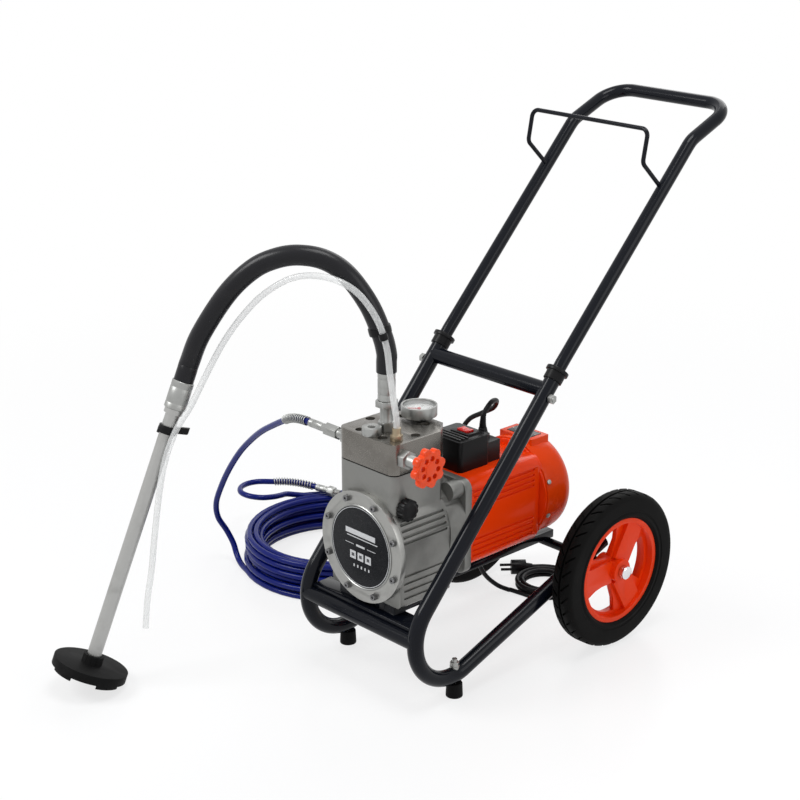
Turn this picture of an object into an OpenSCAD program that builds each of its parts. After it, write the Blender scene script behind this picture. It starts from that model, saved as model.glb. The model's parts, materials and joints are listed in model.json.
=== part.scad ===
// Airless paint sprayer on a two-wheeled cart.
// Millimetres. Z is up, the pump end of the cart faces -Y, the valve side is +X.
// The origin lies on the floor under the middle of the cart.

/* [Cart] */
// Half of the distance between the two side tubes, centre to centre
cart_half_w = 123; // [118:1:132]
// Outside diameter of the cart's frame tubes
frame_tube_d = 25.4; // [24.8:0.2:28]
// Outside diameter of the sliding handle tube
handle_tube_d = 21; // [19:0.2:21]
// Wall of the handle tube
handle_wall = 1.6; // [1.2:0.1:2.5]
// Radial clearance of the handle legs in the side tubes
slide_clearance = 0.08; // [0.05:0.01:0.1]
// Slope of the side tubes' upper leg above the floor
post_angle = 48.4; // [47:0.2:49.4]
// Slope of the side tubes' lower leg above the floor
rail_angle = 20.4; // [19.6:0.2:21.2]
// Centreline radius of the front bend
front_bend_r = 76.4; // [70:0.2:80]
// Height of the front bend's centre
front_bend_z = 112.4; // [111:0.2:116]
// Front bend's centre behind the origin (negative is in front)
front_bend_y = -272.4; // [-276:0.2:-270]
// Straight length of the upper leg, from the bend to the collar
post_length = 419; // [400:1:440]

/* [Handle] */
// Backward kink of the handle just above the collar
handle_kink = 2; // [1:0.5:3]
// Straight length of the handle leg inside the post
leg_inside = 290; // [240:1:320]
// Handle leg from the kink to the grip bend
leg_outside = 418; // [400:1:430]
// Slope of the grip leg above the floor
grip_angle = 22.5; // [18:0.5:26]
// Reach of the grip from the bend to the cross tube
grip_reach = 110; // [100:1:120]
// Centreline radius of the handle's bends
grip_bend_r = 45; // [35:1:48]
// Wire diameter of the hose rack
rack_wire_d = 7; // [5:0.5:8]

/* [Wheels] */
// Tyre outside diameter
wheel_d = 260; // [257:0.5:260]
// Tyre width
tyre_w = 40; // [34:1:44]
// Outside diameter of the rim
rim_d = 176; // [168:1:184]
// Distance of the wheel's middle plane from the cart's middle plane
wheel_x = 164.5; // [163:0.5:170]
// Axle diameter
axle_d = 15; // [12:0.5:16]
// Axle behind the origin
axle_y = 52.5; // [48:0.5:56]
// Radial clearance of the wheel hub on the axle
hub_clearance = 0.06; // [0.03:0.01:0.1]

/* [Pump] */
// Half width of the pump column and head
head_half_w = 62; // [60:0.5:66]
// Height of the pump head block
head_h = 48; // [42:1:54]
// Front face of the pump, from the origin
pump_front_y = -336; // [-338:0.5:-334]
// Depth of the head block, front to back
head_depth = 126; // [122:1:130]
// Height of the pump's underside above the floor
pump_bottom_z = 152; // [151:0.5:156]
// Half width of the crank case
case_half_w = 77; // [74:0.5:80]
// Radius of the round front cover
cover_r = 89; // [84:0.5:90]
// Thickness of the round front cover
cover_t = 10; // [8:0.5:11]
// Centre height of the round front cover
cover_z = 234; // [233:0.5:242]
// Number of screws in the front cover
cover_screws_n = 8; // [6:1:10]
// Diameter of the pump piston
piston_d = 40; // [30:1:44]
// Stroke of the pump piston
piston_stroke = 6; // [4:0.5:8]
// Running clearance of piston and shaft, on the radius
run_clearance = 0.05; // [0.03:0.01:0.08]

/* [Fittings] */
// Diameter of the pressure gauge
gauge_d = 56; // [50:1:58]
// Diameter of the valve handwheel
handwheel_d = 62; // [56:1:66]
// Diameter of the oil cap
oil_cap_d = 34; // [30:1:36]

/* [Motor] */
// Height of the motor shaft
shaft_z = 243; // [242:0.5:246]
// Diameter of the motor shaft
shaft_d = 20; // [16:0.5:22]
// Half width of the motor body
motor_half_w = 70; // [68:0.5:73]
// Half height of the motor body
motor_half_h = 73; // [72:0.5:76]
// Length of the motor body
motor_length = 158; // [150:1:160]
// Radius of the fan cover
fan_cover_r = 84; // [80:0.5:88]
// Length of the switch box
box_length = 66; // [60:1:70]
// Half width of the switch box
box_half_w = 36; // [32:0.5:38]
// Height of the switch box
box_h = 50; // [44:1:54]

/* [Hoses and mains lead] */
// Outside diameter of the suction hose
suction_hose_d = 31; // [27:0.5:32]
// Outside diameter of the suction pipe
suction_pipe_d = 22.5; // [20:0.5:24]
// Length of the suction pipe
suction_pipe_l = 414; // [406:1:420]
// Diameter of the strainer
strainer_d = 118; // [110:1:120]
// Outside diameter of the return tube
return_tube_d = 10; // [8:0.5:10]
// Outside diameter of the paint hose
paint_hose_d = 10.5; // [9.5:0.1:11]
// Outer centreline radius of the paint hose coil
coil_r = 172; // [168:1:174]
// Outside diameter of the mains lead
mains_d = 8; // [7:0.1:8.4]
// Outer centreline radius of the mains lead coil
mains_coil_r = 56; // [54:1:60]

/* [Hidden] */
$fn = 48;
seat = 0.05;
bend_skin = 0.1;
lap = 0.6;

// Directions and points of the side tubes, as [y, z]
function dir(a) = [cos(a), sin(a)];
function normal(a) = [-sin(a), cos(a)];
bolt_d = 8;
bend_c = [front_bend_y, front_bend_z];
post_foot = bend_c + front_bend_r * normal(post_angle);
post_top = post_foot + post_length * dir(post_angle);
clamp_at = post_top - 43.8 * dir(post_angle);
rail_foot = bend_c - front_bend_r * normal(rail_angle);
axle_z = wheel_d / 2;
rail_length = (axle_y - rail_foot[0] + 20) / cos(rail_angle);
handle_bore_d = handle_tube_d + 2 * slide_clearance;
collar_h = 16;
collar_rise = 5;

// Handle points, as [y, z]
leg_angle = post_angle - handle_kink;
kink_r = 300;
kink = post_top + (collar_rise + 12) * dir(post_angle);
leg_end = kink + leg_outside * dir(leg_angle);
cross_c = leg_end + grip_reach * dir(grip_angle);
rack_at = leg_end - 93 * dir(leg_angle);
rack_out = 68;
rack_up = 52;
rack_lean = 79;
rack_bend_r = 12;

// Cart floor and base
front_bar = [bend_c[0] - front_bend_r, front_bend_z + 5.6];
bracket_z = front_bar[1] + frame_tube_d / 2;
rail_top_z = pump_bottom_z;
rail_bottom_z = axle_z + axle_d / 2 + seat;
rail_w = 20;
rail_x = 18;
foot_y = -265.5;
foot_d = 27;
foot_top_z = bend_c[1] - front_bend_r - frame_tube_d / 2 - seat;

// Pump
head_z = 363;
seam_z = 361;
head_top_z = head_z + head_h;
head_back_y = pump_front_y + head_depth;
case_back_y = -232;
bell_r = 80;
flange_y = -198;
motor_y = -184;
motor_end_y = motor_y + motor_length;
bolt_ring_r = 50;
bolt_ring_c = [-2, pump_front_y + 58];
port_y = -292;
return_at = [43, -312];
plug_at = [0, -322.5];
gauge_at = [-6, -219];
outlet_at = [-308, 384];
valve_at = [-315, 387];
oil_thread_d = 20;
oil_at = [-314, 307];
crank_r = 43;
crank_throw = piston_stroke / 2;
crank_y = pump_front_y + 38;
dish_r = 42;
crank_w = 36;
piston_z = shaft_z + crank_r + crank_throw + 0.3;
chamber_r = 58;

// Switch box and mains gland
box_y = -171;
box_z = shaft_z + motor_half_h;
gland_at = [8, -93];
gland_z = box_z + 34;
gland_h = 16;

// Suction pipe: foot of the strainer, tilt and heading
strainer_at = [-286, -662];
pipe_tilt = 21.9;
pipe_heading = 76.3;
lug_r = 54;
lug_h = 7;
strainer_t = 14;
neck_h = 16;
pipe_z0 = lug_h + strainer_t + neck_h - 12;
pipe_dir = [sin(pipe_tilt) * cos(pipe_heading), sin(pipe_tilt) * sin(pipe_heading),
    cos(pipe_tilt)];
strainer_z = lug_r * sin(pipe_tilt) + seat;
pipe_base = [strainer_at[0], strainer_at[1], strainer_z];
ferrule_l = 44;
ferrule_gap = 4;
pipe_end = pipe_z0 + suction_pipe_l;
function along_pipe(t) = pipe_base + t * pipe_dir;
suction_start = along_pipe(pipe_end + ferrule_gap + ferrule_l);
suction_top_z = head_top_z + 47 + ferrule_l;
suction_route = [suction_start, suction_start + 16 * pipe_dir, suction_start + 32 * pipe_dir,
    [-219, -467, 548], [-186, -441, 612], [-155, -416, 651], [-127, -394, 669],
    [-100, -372, 675], [-71, -348, 669], [-45, -328, 648], [-21, -308, 605],
    [-6, -296, 560], [0, port_y, suction_top_z + 30], [0, port_y, suction_top_z + 15],
    [0, port_y, suction_top_z]];

// Return tube: along the inside of the hose, down beside the pipe
return_top_z = head_top_z + 19;
return_route = [[return_at[0], return_at[1], return_top_z],
    [return_at[0], return_at[1], return_top_z + 12],
    [return_at[0] - 2, return_at[1] - 1, return_top_z + 26],
    [30, -308, 482], [22, -306, 510], [17, -307, 545], [6, -315, 587], [-13.7, -331.3, 624.1],
    [-39, -348.7, 643.1], [-73.8, -367, 648.3], [-105, -386, 641], [-139, -407, 616],
    [-166, -425, 583], [-192, -443, 540], [-212, -462, 490], [-222, -488, 440],
    [-230, -515, 400], [-236, -536, 344], [-241, -550, 261], [-241, -563, 184],
    [-239, -575, 137], [-236, -583, 93]];

// Paint hose: outlet, free run, coil and the end for the gun
outlet_nut_x = head_half_w + 56;
paint_ferrule_l = 40;
paint_start_x = outlet_nut_x + paint_ferrule_l;
coil_c = [-370, -64];
coil_start = -115;
coil_turns = 2.625;
coil_layers = 6;
coil_pitch = paint_hose_d + 1.5;
coil_rise = paint_hose_d + 1;
coil_z = paint_hose_d / 2 + seat;
coil_lead = paint_hose_d;
guard_wire_d = 2;
guard_turns = 15;
outlet_at_hose = [-paint_start_x, outlet_at[0], outlet_at[1]];
outlet_guard = [outlet_at_hose - [6, 0, 0], outlet_at_hose - [42, 0, 0], [-232, -297, 366]];
paint_route_mid = [[-272, -287, 345], [-321, -276, 317], [-367, -264, 285], [-407, -256, 251],
    [-449, -247, 207], [-484, -239, 163], [-511, -232, 120], [-521, -222, 86],
    [-517, -207, 57], [-507, -201, 34], [-494, -204, 17.2], [-479.7, -208.6, 8.4]];
gun_route_mid = [[-550.5, -38, 69.5], [-547, -57, 73], [-545.5, -76, 76], [-552.3, -97.3, 78.5],
    [-571.3, -111.1, 80], [-594.7, -111.1, 80], [-613.7, -97.3, 80], [-621, -76, 80],
    [-615, -54, 80]];
gun_guard = [[-594, -32, 80], [-570, -5.3, 82.3], [-526, 8, 79.5]];
gun_dir = [0.955, 0.29, -0.06];

// Mains lead: gland, free run, coil and plug
mains_c = [-46, 126];
mains_start = -90;
mains_turns = 2.33;
mains_pitch = mains_d + 1.2;
mains_rise = mains_d + 1;
mains_z = mains_d / 2 + seat;
mains_route = [[gland_at[0], gland_at[1], gland_z + gland_h],
    [gland_at[0], gland_at[1], gland_z + gland_h + 10],
    [gland_at[0], gland_at[1] + 3, gland_z + gland_h + 24],
    [4, -70, 402], [-6, -48, 396], [-22, -38, 378], [-48, -38, 362], [-78, -38, 342],
    [-98, -38, 308], [-103, -36, 262], [-102, -34, 215], [-98, -30, 168],
    [-92, -20, 118], [-90, 0, 74], [-92, 24, 38], [-88, 48, 14], [-76, 62, 5]];

// Smallest gap of each coil to itself, worked out on its rings
function tri(s, t) = let (q = s % (2 * t)) q < t ? q : 2 * t - q;
function climb(s, t, top) = let (j = floor(s / t + 0.5), q = (s - j * t) / 0.5)
    min(top, j - 1 + (j < 1 ? 1 : min(1, max(0, q + 0.5))));
function coil_point(c, r, z, a0, pitch, rise, turns, top, s) =
    let (k = r - pitch * tri(s, turns), a = a0 + 360 * s)
    [c[0] + k * cos(a), c[1] + k * sin(a), z + rise * climb(s, turns, top)];
function coil_path(c, r, z, a0, pitch, rise, turns, layers) =
    let (n = ceil(24 * turns * layers), total = turns * layers)
    [for (i = [0:n]) coil_point(c, r, z, a0, pitch, rise, turns, layers - 1,
        min(i / 24, total - 0.0001))];
function leads(p, l) = let (n = len(p) - 1)
    concat([p[0] - l * flat(p[1] - p[0])], p, [p[n] + l * flat(p[n] - p[n - 1])]);
function flat(v) = unit([v[0], v[1], 0]);
function unit(v) = v / norm(v);
function self_gap(p, d) = min([for (i = [0:len(p) - 1], k = [1:len(p) / 24], e = [-2:2])
    let (j = i + 24 * k + e) if (j < len(p)) norm(p[j] - p[i])]) - d;

paint_coil_path = leads(coil_path(coil_c, coil_r, coil_z, coil_start, coil_pitch, coil_rise,
    coil_turns, coil_layers), coil_lead);
mains_coil_path = leads(coil_path(mains_c, mains_coil_r, mains_z, mains_start, mains_pitch,
    mains_rise, mains_turns, 2), mains_d);
echo(paint_hose_coil_gap = self_gap(paint_coil_path, paint_hose_d));
echo(mains_coil_gap = self_gap(mains_coil_path, mains_d));

// Smooth curve through the points of a route, n steps to a stretch
function bend4(a, b, c, d, t) = 0.5 * (2 * b + (c - a) * t + (2 * a - 5 * b + 4 * c - d) * t * t
    + (3 * b - a - 3 * c + d) * t * t * t);
function smooth(p, n) = let (m = len(p) - 1)
    [for (i = [0:m - 1], k = [0:n - 1]) bend4(p[max(i - 1, 0)], p[i], p[i + 1],
        p[min(i + 2, m)], k / n), p[m]];
function tangent(p, i) = unit(p[min(i + 1, len(p) - 1)] - p[max(i - 1, 0)]);
function square_to(u, t) = unit(u - (u * t) * t);
function first_side(t) = square_to(abs(t[2]) < 0.9 ? [0, 0, 1] : [1, 0, 0], t);
function sides(p) = [for (i = 0, u = first_side(tangent(p, 0)); i < len(p);
    i = i + 1, u = i < len(p) ? square_to(u, tangent(p, i)) : u) u];

// Round tube along a path, as one closed skin
module sweep(p, d, n) {
    u = sides(p);
    m = len(p);
    points = [for (i = [0:m - 1], k = [0:n - 1]) let (t = tangent(p, i), a = 360 * k / n)
        p[i] + d / 2 * (cos(a) * u[i] + sin(a) * cross(t, u[i]))];
    walls = [for (i = [0:m - 2], k = [0:n - 1]) let (a = i * n + k, b = i * n + (k + 1) % n)
        each [[a, b + n, b], [a, a + n, b + n]]];
    caps = [for (k = [1:n - 2]) each [[0, k, k + 1],
        [(m - 1) * n, (m - 1) * n + k + 1, (m - 1) * n + k]]];
    polyhedron(points, concat(walls, caps), convexity = 10);
}

// Lays a profile drawn in [y, z] on the plane x
module on_x(x) {
    translate([x, 0, 0])
        rotate([90, 0, 90])
            children();
}

// Straight rod from a point at an angle, in the drawing plane
module rod(at, angle, length, d) {
    translate([at[0], at[1], 0])
        rotate([0, 0, angle])
            rotate([0, 90, 0])
                cylinder(h = length, d = d);
}

// Rod along X, Y or Z from a point
module rod_x(at, length, d) {
    translate(at)
        rotate([0, 90, 0])
            cylinder(h = length, d = d);
}

module rod_y(at, length, d) {
    translate(at)
        rotate([-90, 0, 0])
            cylinder(h = length, d = d);
}

// Hexagon bar, across flats
module hex(af, h) {
    cylinder(h = h, d = af / cos(30), $fn = 6);
}

// Block with rounded upright edges, centred in X and Y
module round_block(w, l, h, r) {
    translate([-w / 2 + r, -l / 2, 0])
        cube([w - 2 * r, l, h]);
    translate([-w / 2, -l / 2 + r, 0])
        cube([w, l - 2 * r, h]);
    for (x = [-1, 1], y = [-1, 1])
        translate([x * (w / 2 - r), y * (l / 2 - r), 0])
            cylinder(h = h, r = r);
}

// Block along Y with rounded edges, centred on the shaft line
module round_box_y(w, h, r, y0, l) {
    translate([0, y0 + l, shaft_z])
        rotate([90, 0, 0])
            round_block(w, h, l, r);
}

// Arc of tube about a centre in the drawing plane, a hair thicker than the legs it joins
module arc(c, from, angle, r, d) {
    translate([c[0], c[1], 0])
        rotate([0, 0, from])
            rotate_extrude(angle = angle)
                translate([r, 0])
                    circle(d = d + bend_skin);
}

// Outline of one side tube, upper leg, bend and lower leg
module side_tube_path(d, extra = 0) {
    rod(post_foot - lap * dir(post_angle), post_angle, post_length + lap + extra, d);
    arc(bend_c, post_angle + 90, 180 - post_angle + rail_angle, front_bend_r, d);
    rod(rail_foot - lap * dir(rail_angle), rail_angle, rail_length + lap + extra, d);
}

module side_tube(x) {
    color("#23252b")
        difference() {
            on_x(x)
                difference() {
                    side_tube_path(frame_tube_d);
                    side_tube_path(handle_bore_d, 5);
                }
            translate([x, foot_y, 0])
                cylinder(h = front_bend_z, d = bolt_d + 0.4);
            rod_x([x > 0 ? x : x - 30, clamp_at[0], clamp_at[1]], 30, bolt_d + 0.4);
        }
}

module side_tube_right() {
    side_tube(cart_half_w);
}

module side_tube_left() {
    side_tube(-cart_half_w);
}

// Saddle cut that lets a crossbar end meet the side tubes
module between_tubes(at, d) {
    difference() {
        rod_x([-cart_half_w, at[0], at[1]], 2 * cart_half_w, d);
        for (x = [-1, 1])
            on_x(x * cart_half_w)
                side_tube_path(frame_tube_d + 2 * seat);
    }
}

module crossbars() {
    color("#23252b")
        for (at = [front_bar, post_top - 33 * dir(post_angle)])
            between_tubes(at, frame_tube_d);
}

axle_half = wheel_x + tyre_w / 2 + 4;
module axle() {
    color("#2c2e33")
        rod_x([-axle_half, axle_y, axle_z], 2 * axle_half, axle_d);
}

// The two rails that carry pump and motor
module base_rails() {
    color("#1c1d21")
        for (x = [-1, 1])
            translate([x * rail_x - rail_w / 2, pump_front_y + 1, rail_bottom_z])
                cube([rail_w, axle_y + 7 - pump_front_y, rail_top_z - rail_bottom_z]);
}

module front_bracket() {
    w = 2 * cart_half_w - frame_tube_d - 0.6;
    inner = rail_x + rail_w / 2 + seat;
    color("#1c1d21") {
        translate([-w / 2, front_bar[0], bracket_z])
            cube([w, 38, rail_bottom_z - bracket_z]);
        for (x = [-head_half_w, inner])
            translate([x, pump_front_y + 1, rail_bottom_z])
                cube([head_half_w - inner, 90, rail_top_z - rail_bottom_z]);
    }
}

module motor_foot() {
    color("#1c1d21")
        translate([-rail_x - rail_w / 2, motor_y + 10, rail_top_z])
            cube([2 * rail_x + rail_w, motor_length - 24, shaft_z - motor_half_h - rail_top_z]);
}

module feet() {
    color("#1b1b1d")
        for (x = [-cart_half_w, cart_half_w])
            translate([x, foot_y, 0])
                rotate_extrude()
                    polygon([[7.6, 0], [foot_d / 2, 0], [foot_d / 2 - 1, foot_top_z],
                        [bolt_d / 2 + 0.2, foot_top_z], [bolt_d / 2 + 0.2, 8], [7.6, 8]]);
}

// Foot bolts with saddle washer and nut, and the clamp bolts of the handle
module frame_bolts() {
    nut_z = front_bend_z - sqrt(pow(front_bend_r - frame_tube_d / 2, 2) - 225) + 1;
    color("#b9bcc0") {
        for (x = [-cart_half_w, cart_half_w]) {
            translate([x, foot_y, 2.6])
                hex(13, 5.4);
            translate([x, foot_y, 7])
                cylinder(h = nut_z + 5, d = bolt_d);
            translate([x, foot_y, nut_z])
                hex(13, 6.5);
            difference() {
                translate([x, foot_y, nut_z - 7])
                    cylinder(h = 7, d = 15);
                on_x(x)
                    side_tube_path(frame_tube_d);
                translate([x, foot_y, nut_z - 8])
                    cylinder(h = 9, d = bolt_d + 0.4);
            }
        }
        for (s = [-1, 1]) {
            x = s * (cart_half_w + handle_bore_d / 2 + 0.1);
            rod_x([s > 0 ? x : x - 12, clamp_at[0], clamp_at[1]], 12, bolt_d);
            translate([s * (cart_half_w + frame_tube_d / 2 + 1), clamp_at[0], clamp_at[1]])
                rotate([0, s * 90, 0])
                    hex(13, 7);
        }
    }
}

// Flanged collars that guide the handle legs at the post tops
module slide_collars() {
    color("#17181a")
        for (x = [-cart_half_w, cart_half_w])
            on_x(x)
                difference() {
                    union() {
                        rod(post_top - collar_h * dir(post_angle), post_angle,
                            collar_h + collar_rise, frame_tube_d + 5);
                        rod(post_top - 2 * dir(post_angle), post_angle,
                            collar_rise + 1, frame_tube_d + 11);
                    }
                    rod(post_top - 40 * dir(post_angle), post_angle, 40, frame_tube_d);
                    rod(post_top - dir(post_angle), post_angle, 12, handle_bore_d);
                }
}

// Clockwise bend in the drawing plane at a corner, from one slope to a lower one
module turn(at, from, to, r, d) {
    c = at - r * tan((from - to) / 2) * dir(from) - r * normal(from);
    arc(c, to + 90, from - to, r, d);
}

// Quarter bend between the planes x and the slope a
module corner(x, at, a, r, d) {
    translate([x - r, at[0] - r * cos(a), at[1] - r * sin(a)])
        rotate([a, 0, 0])
            arc([0, 0], 0, 90, r, d);
}

module handle_leg(d, extra) {
    t1 = kink_r * tan((post_angle - leg_angle) / 2);
    t2 = grip_bend_r * tan((leg_angle - grip_angle) / 2);
    on_x(cart_half_w) {
        rod(kink - (leg_inside + extra) * dir(post_angle), post_angle,
            leg_inside + extra - t1 + lap, d);
        turn(kink, post_angle, leg_angle, kink_r, d);
        rod(kink + (t1 - lap) * dir(leg_angle), leg_angle, leg_outside - t1 - t2 + 2 * lap, d);
        turn(leg_end, leg_angle, grip_angle, grip_bend_r, d);
        rod(leg_end + (t2 - lap) * dir(grip_angle), grip_angle,
            grip_reach - t2 - grip_bend_r + 2 * lap, d);
    }
    corner(cart_half_w, cross_c, grip_angle, grip_bend_r, d);
}

module handle_skin(d, extra) {
    handle_leg(d, extra);
    mirror([1, 0, 0])
        handle_leg(d, extra);
    rod_x([-cart_half_w + grip_bend_r - lap, cross_c[0], cross_c[1]],
        2 * (cart_half_w - grip_bend_r + lap), d);
}

module handle_tube() {
    color("#23252b")
        difference() {
            handle_skin(handle_tube_d, 0);
            handle_skin(handle_tube_d - 2 * handle_wall, 5);
        }
}

module rack_arm() {
    top = rack_at + rack_out * normal(leg_angle);
    t = rack_bend_r * tan((leg_angle + 90 - rack_lean) / 2);
    x = cart_half_w - 3;
    on_x(x) {
        rod(rack_at, leg_angle + 90, rack_out - t + lap / 3, rack_wire_d);
        turn(top, leg_angle + 90, rack_lean, rack_bend_r, rack_wire_d);
        rod(top + (t - lap / 3) * dir(rack_lean), rack_lean,
            rack_up - t - rack_bend_r + 2 * lap / 3, rack_wire_d);
    }
    corner(x, top + rack_up * dir(rack_lean), rack_lean, rack_bend_r, rack_wire_d);
}

// Wire hose rack welded to the front of the handle legs
module hose_rack() {
    top = rack_at + rack_out * normal(leg_angle) + rack_up * dir(rack_lean);
    x = cart_half_w - 3 - rack_bend_r + lap / 3;
    color("#23252b")
        difference() {
            union() {
                rack_arm();
                mirror([1, 0, 0])
                    rack_arm();
                rod_x([-x, top[0], top[1]], 2 * x, rack_wire_d);
            }
            for (s = [-1, 1])
                on_x(s * cart_half_w)
                    rod(rack_at - 20 * dir(leg_angle), leg_angle, 40, handle_tube_d + 2 * seat);
        }
}

rim_w = 32;
hub_d = 38;
tyre_bore_d = rim_d + 2 * seat;
module at_wheel(s) {
    translate([s * wheel_x, axle_y, axle_z])
        rotate([0, s * 90, 0])
            children();
}

// Spoked plastic rim: barrel, three wide spokes, hub
module rim() {
    color("#d8431c")
        difference() {
            union() {
                difference() {
                    translate([0, 0, -rim_w / 2])
                        cylinder(h = rim_w, d = rim_d);
                    translate([0, 0, -rim_w / 2 - 1])
                        cylinder(h = rim_w + 2, d = rim_d - 16);
                }
                translate([0, 0, -4])
                    cylinder(h = 8, d = rim_d - 10);
                translate([0, 0, -24])
                    cylinder(h = 44, d = hub_d);
                for (a = [0, 120, 240])
                    rotate([0, 0, a + 30])
                        translate([hub_d / 2 - 4, -19, -9])
                            cube([rim_d / 2 - hub_d / 2, 38, 20]);
            }
            for (a = [0, 120, 240])
                rotate([0, 0, a - 30])
                    translate([0, 0, -30])
                        linear_extrude(height = 60)
                            petal();
            translate([0, 0, -30])
                cylinder(h = 60, d = axle_d + 2 * hub_clearance);
        }
}

// Rounded three-cornered opening between two spokes
module petal() {
    difference() {
        intersection() {
            circle(r = rim_d / 2 - 14);
            polygon([[24, 0], [46, -26], [110, -72], [110, 72], [46, 26]]);
        }
        circle(r = hub_d / 2 + 7);
    }
}

module tyre() {
    h = tyre_w / 2;
    r = wheel_d / 2;
    b = tyre_bore_d / 2;
    color("#1a1a1b")
        difference() {
            rotate_extrude($fn = 96) {
                translate([b, -h + 5])
                    square([r - b - 9, 2 * h - 10]);
                translate([b, -rim_w / 2 + 1])
                    square([r - b, rim_w - 2]);
                translate([r - 11, -h + 11])
                    square([11, 2 * h - 22]);
                for (y = [-h + 11, h - 11])
                    translate([r - 11, y])
                        circle(r = 11);
                for (y = [-h + 5, h - 5])
                    translate([b + 5, y])
                        circle(r = 5);
                translate([b + 5, -h])
                    square([r - b - 16, 2 * h]);
            }
            for (z = [-9, 0, 9])
                translate([0, 0, z - 1.5])
                    difference() {
                        cylinder(h = 3, r = r + 1);
                        translate([0, 0, -1])
                            cylinder(h = 5, r = r - 4);
                    }
        }
}

module rim_right() {
    at_wheel(1)
        rim();
}

module tyre_right() {
    at_wheel(1)
        tyre();
}

module rim_left() {
    at_wheel(-1)
        rim();
}

module tyre_left() {
    at_wheel(-1)
        tyre();
}

// Domed nuts that hold the wheels on the axle
module axle_nuts() {
    color("#c9ccd0")
        for (s = [-1, 1])
            translate([s * (wheel_x + 20.3), axle_y, axle_z])
                rotate([0, s * 90, 0])
                    difference() {
                        rotate_extrude()
                            intersection() {
                                square([11, 13]);
                                translate([0, -8])
                                    circle(r = 21);
                            }
                        translate([0, 0, -1])
                            cylinder(h = axle_half - wheel_x - 19.3, d = axle_d);
                    }
}

// Upright block with the plan of pump column and head: round front, chamfered back
module head_block(z, h, grow) {
    w = head_half_w + grow;
    f = pump_front_y - grow;
    l = head_depth + 40;
    intersection() {
        translate([0, f + l / 2, z])
            round_block(2 * w, l, h, 14);
        translate([0, 0, z - 1])
            linear_extrude(height = h + 2)
                polygon([[-w - 5, head_back_y - 36], [-37, head_back_y], [37, head_back_y],
                    [w + 5, head_back_y - 36], [w + 5, f - 5], [-w - 5, f - 5]]);
    }
}

bolt_at = [for (a = [0:60:300]) bolt_ring_c + bolt_ring_r * [cos(a), sin(a)]];
screw_ring_r = cover_r - 10.5;
function case_x(z) = case_half_w - max(0, z - 262) * (case_half_w - head_half_w) / 38;

module pump_housing() {
    color("#9a9b97")
        difference() {
            union() {
                head_block(270, seam_z - 270, 0);
                translate([0, case_back_y, 0])
                    rotate([90, 0, 0])
                        linear_extrude(height = case_back_y - pump_front_y)
                            polygon([[-case_half_w, pump_bottom_z + 5], [-case_half_w, 262],
                                [-head_half_w, 300], [head_half_w, 300], [case_half_w, 262],
                                [case_half_w, pump_bottom_z + 5], [case_half_w - 5, pump_bottom_z],
                                [-case_half_w + 5, pump_bottom_z]]);
                rod_y([0, case_back_y - 1, shaft_z], flange_y - case_back_y + 1, 2 * bell_r);
                rod_y([58, -222, 307], flange_y + 222, 30);
            }
            for (s = [-1, 1], z = [168, 180, 192, 204, 258, 267, 276, 285])
                translate([s * (case_x(z) + 7), case_back_y - 51, z])
                    cube([20, 90, 4], center = true);
            rod_y([0, pump_front_y - 1, shaft_z], 68, 2 * chamber_r);
            rod_y([0, pump_front_y, shaft_z], 200, shaft_d + 4);
            rod_y([0, -252, shaft_z], 14, 42);
            rod_y([0, -226, shaft_z], 40, 120);
            translate([0, crank_y, shaft_z])
                cylinder(h = 200, d = piston_d + 2 * run_clearance);
            translate([bolt_ring_c[0], bolt_ring_c[1], seam_z - 8])
                cylinder(h = 9, r = dish_r - 1);
            for (p = bolt_at)
                translate([p[0], p[1], seam_z - 22])
                    cylinder(h = 23, d = 8.4);
            for (i = [0:cover_screws_n - 1])
                cover_screw_at(i)
                    translate([0, 0, -10])
                        cylinder(h = 11, d = 5.2);
            rod_x([head_half_w - 20, oil_at[0], oil_at[1]], 30, oil_thread_d + 2 * run_clearance);
            rod_x([head_half_w, oil_at[0], oil_at[1]], 30, oil_cap_d + 3);
        }
}

// Places a cover screw, drawn along +Z with its seat at 0, on the housing face
module cover_screw_at(i) {
    a = 22.5 + 360 * i / cover_screws_n;
    translate([screw_ring_r * cos(a), pump_front_y, cover_z + screw_ring_r * sin(a)])
        rotate([90, 0, 0])
            children();
}

module crank_cover() {
    color("#9fa09c")
        difference() {
            union() {
                rod_y([0, pump_front_y - cover_t, cover_z], cover_t, 2 * cover_r);
                rod_y([0, pump_front_y - 1, shaft_z], 13, 54);
            }
            rod_y([0, pump_front_y - 1, shaft_z], 20, 42);
            for (i = [0:cover_screws_n - 1])
                cover_screw_at(i)
                    translate([0, 0, -1])
                        cylinder(h = cover_t + 2, d = 5.4);
        }
}

module cover_screws() {
    color("#8d8f92")
        for (i = [0:cover_screws_n - 1])
            cover_screw_at(i)
                difference() {
                    union() {
                        translate([0, 0, -8])
                            cylinder(h = cover_t + 9, d = 5);
                        translate([0, 0, cover_t])
                            cylinder(h = 5, d = 10);
                    }
                    translate([0, 0, cover_t + 2])
                        hex(4, 4);
                }
}

module head_gasket() {
    color("#202022")
        difference() {
            head_block(seam_z, head_z - seam_z, -1);
            translate([bolt_ring_c[0], bolt_ring_c[1], seam_z - 1])
                cylinder(h = 10, r = dish_r);
            for (p = bolt_at)
                translate([p[0], p[1], seam_z - 1])
                    cylinder(h = 10, d = 9);
        }
}

module diaphragm() {
    color("#3a3d42")
        translate([bolt_ring_c[0], bolt_ring_c[1], seam_z])
            cylinder(h = head_z - seam_z, r = dish_r - seat);
}

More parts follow.
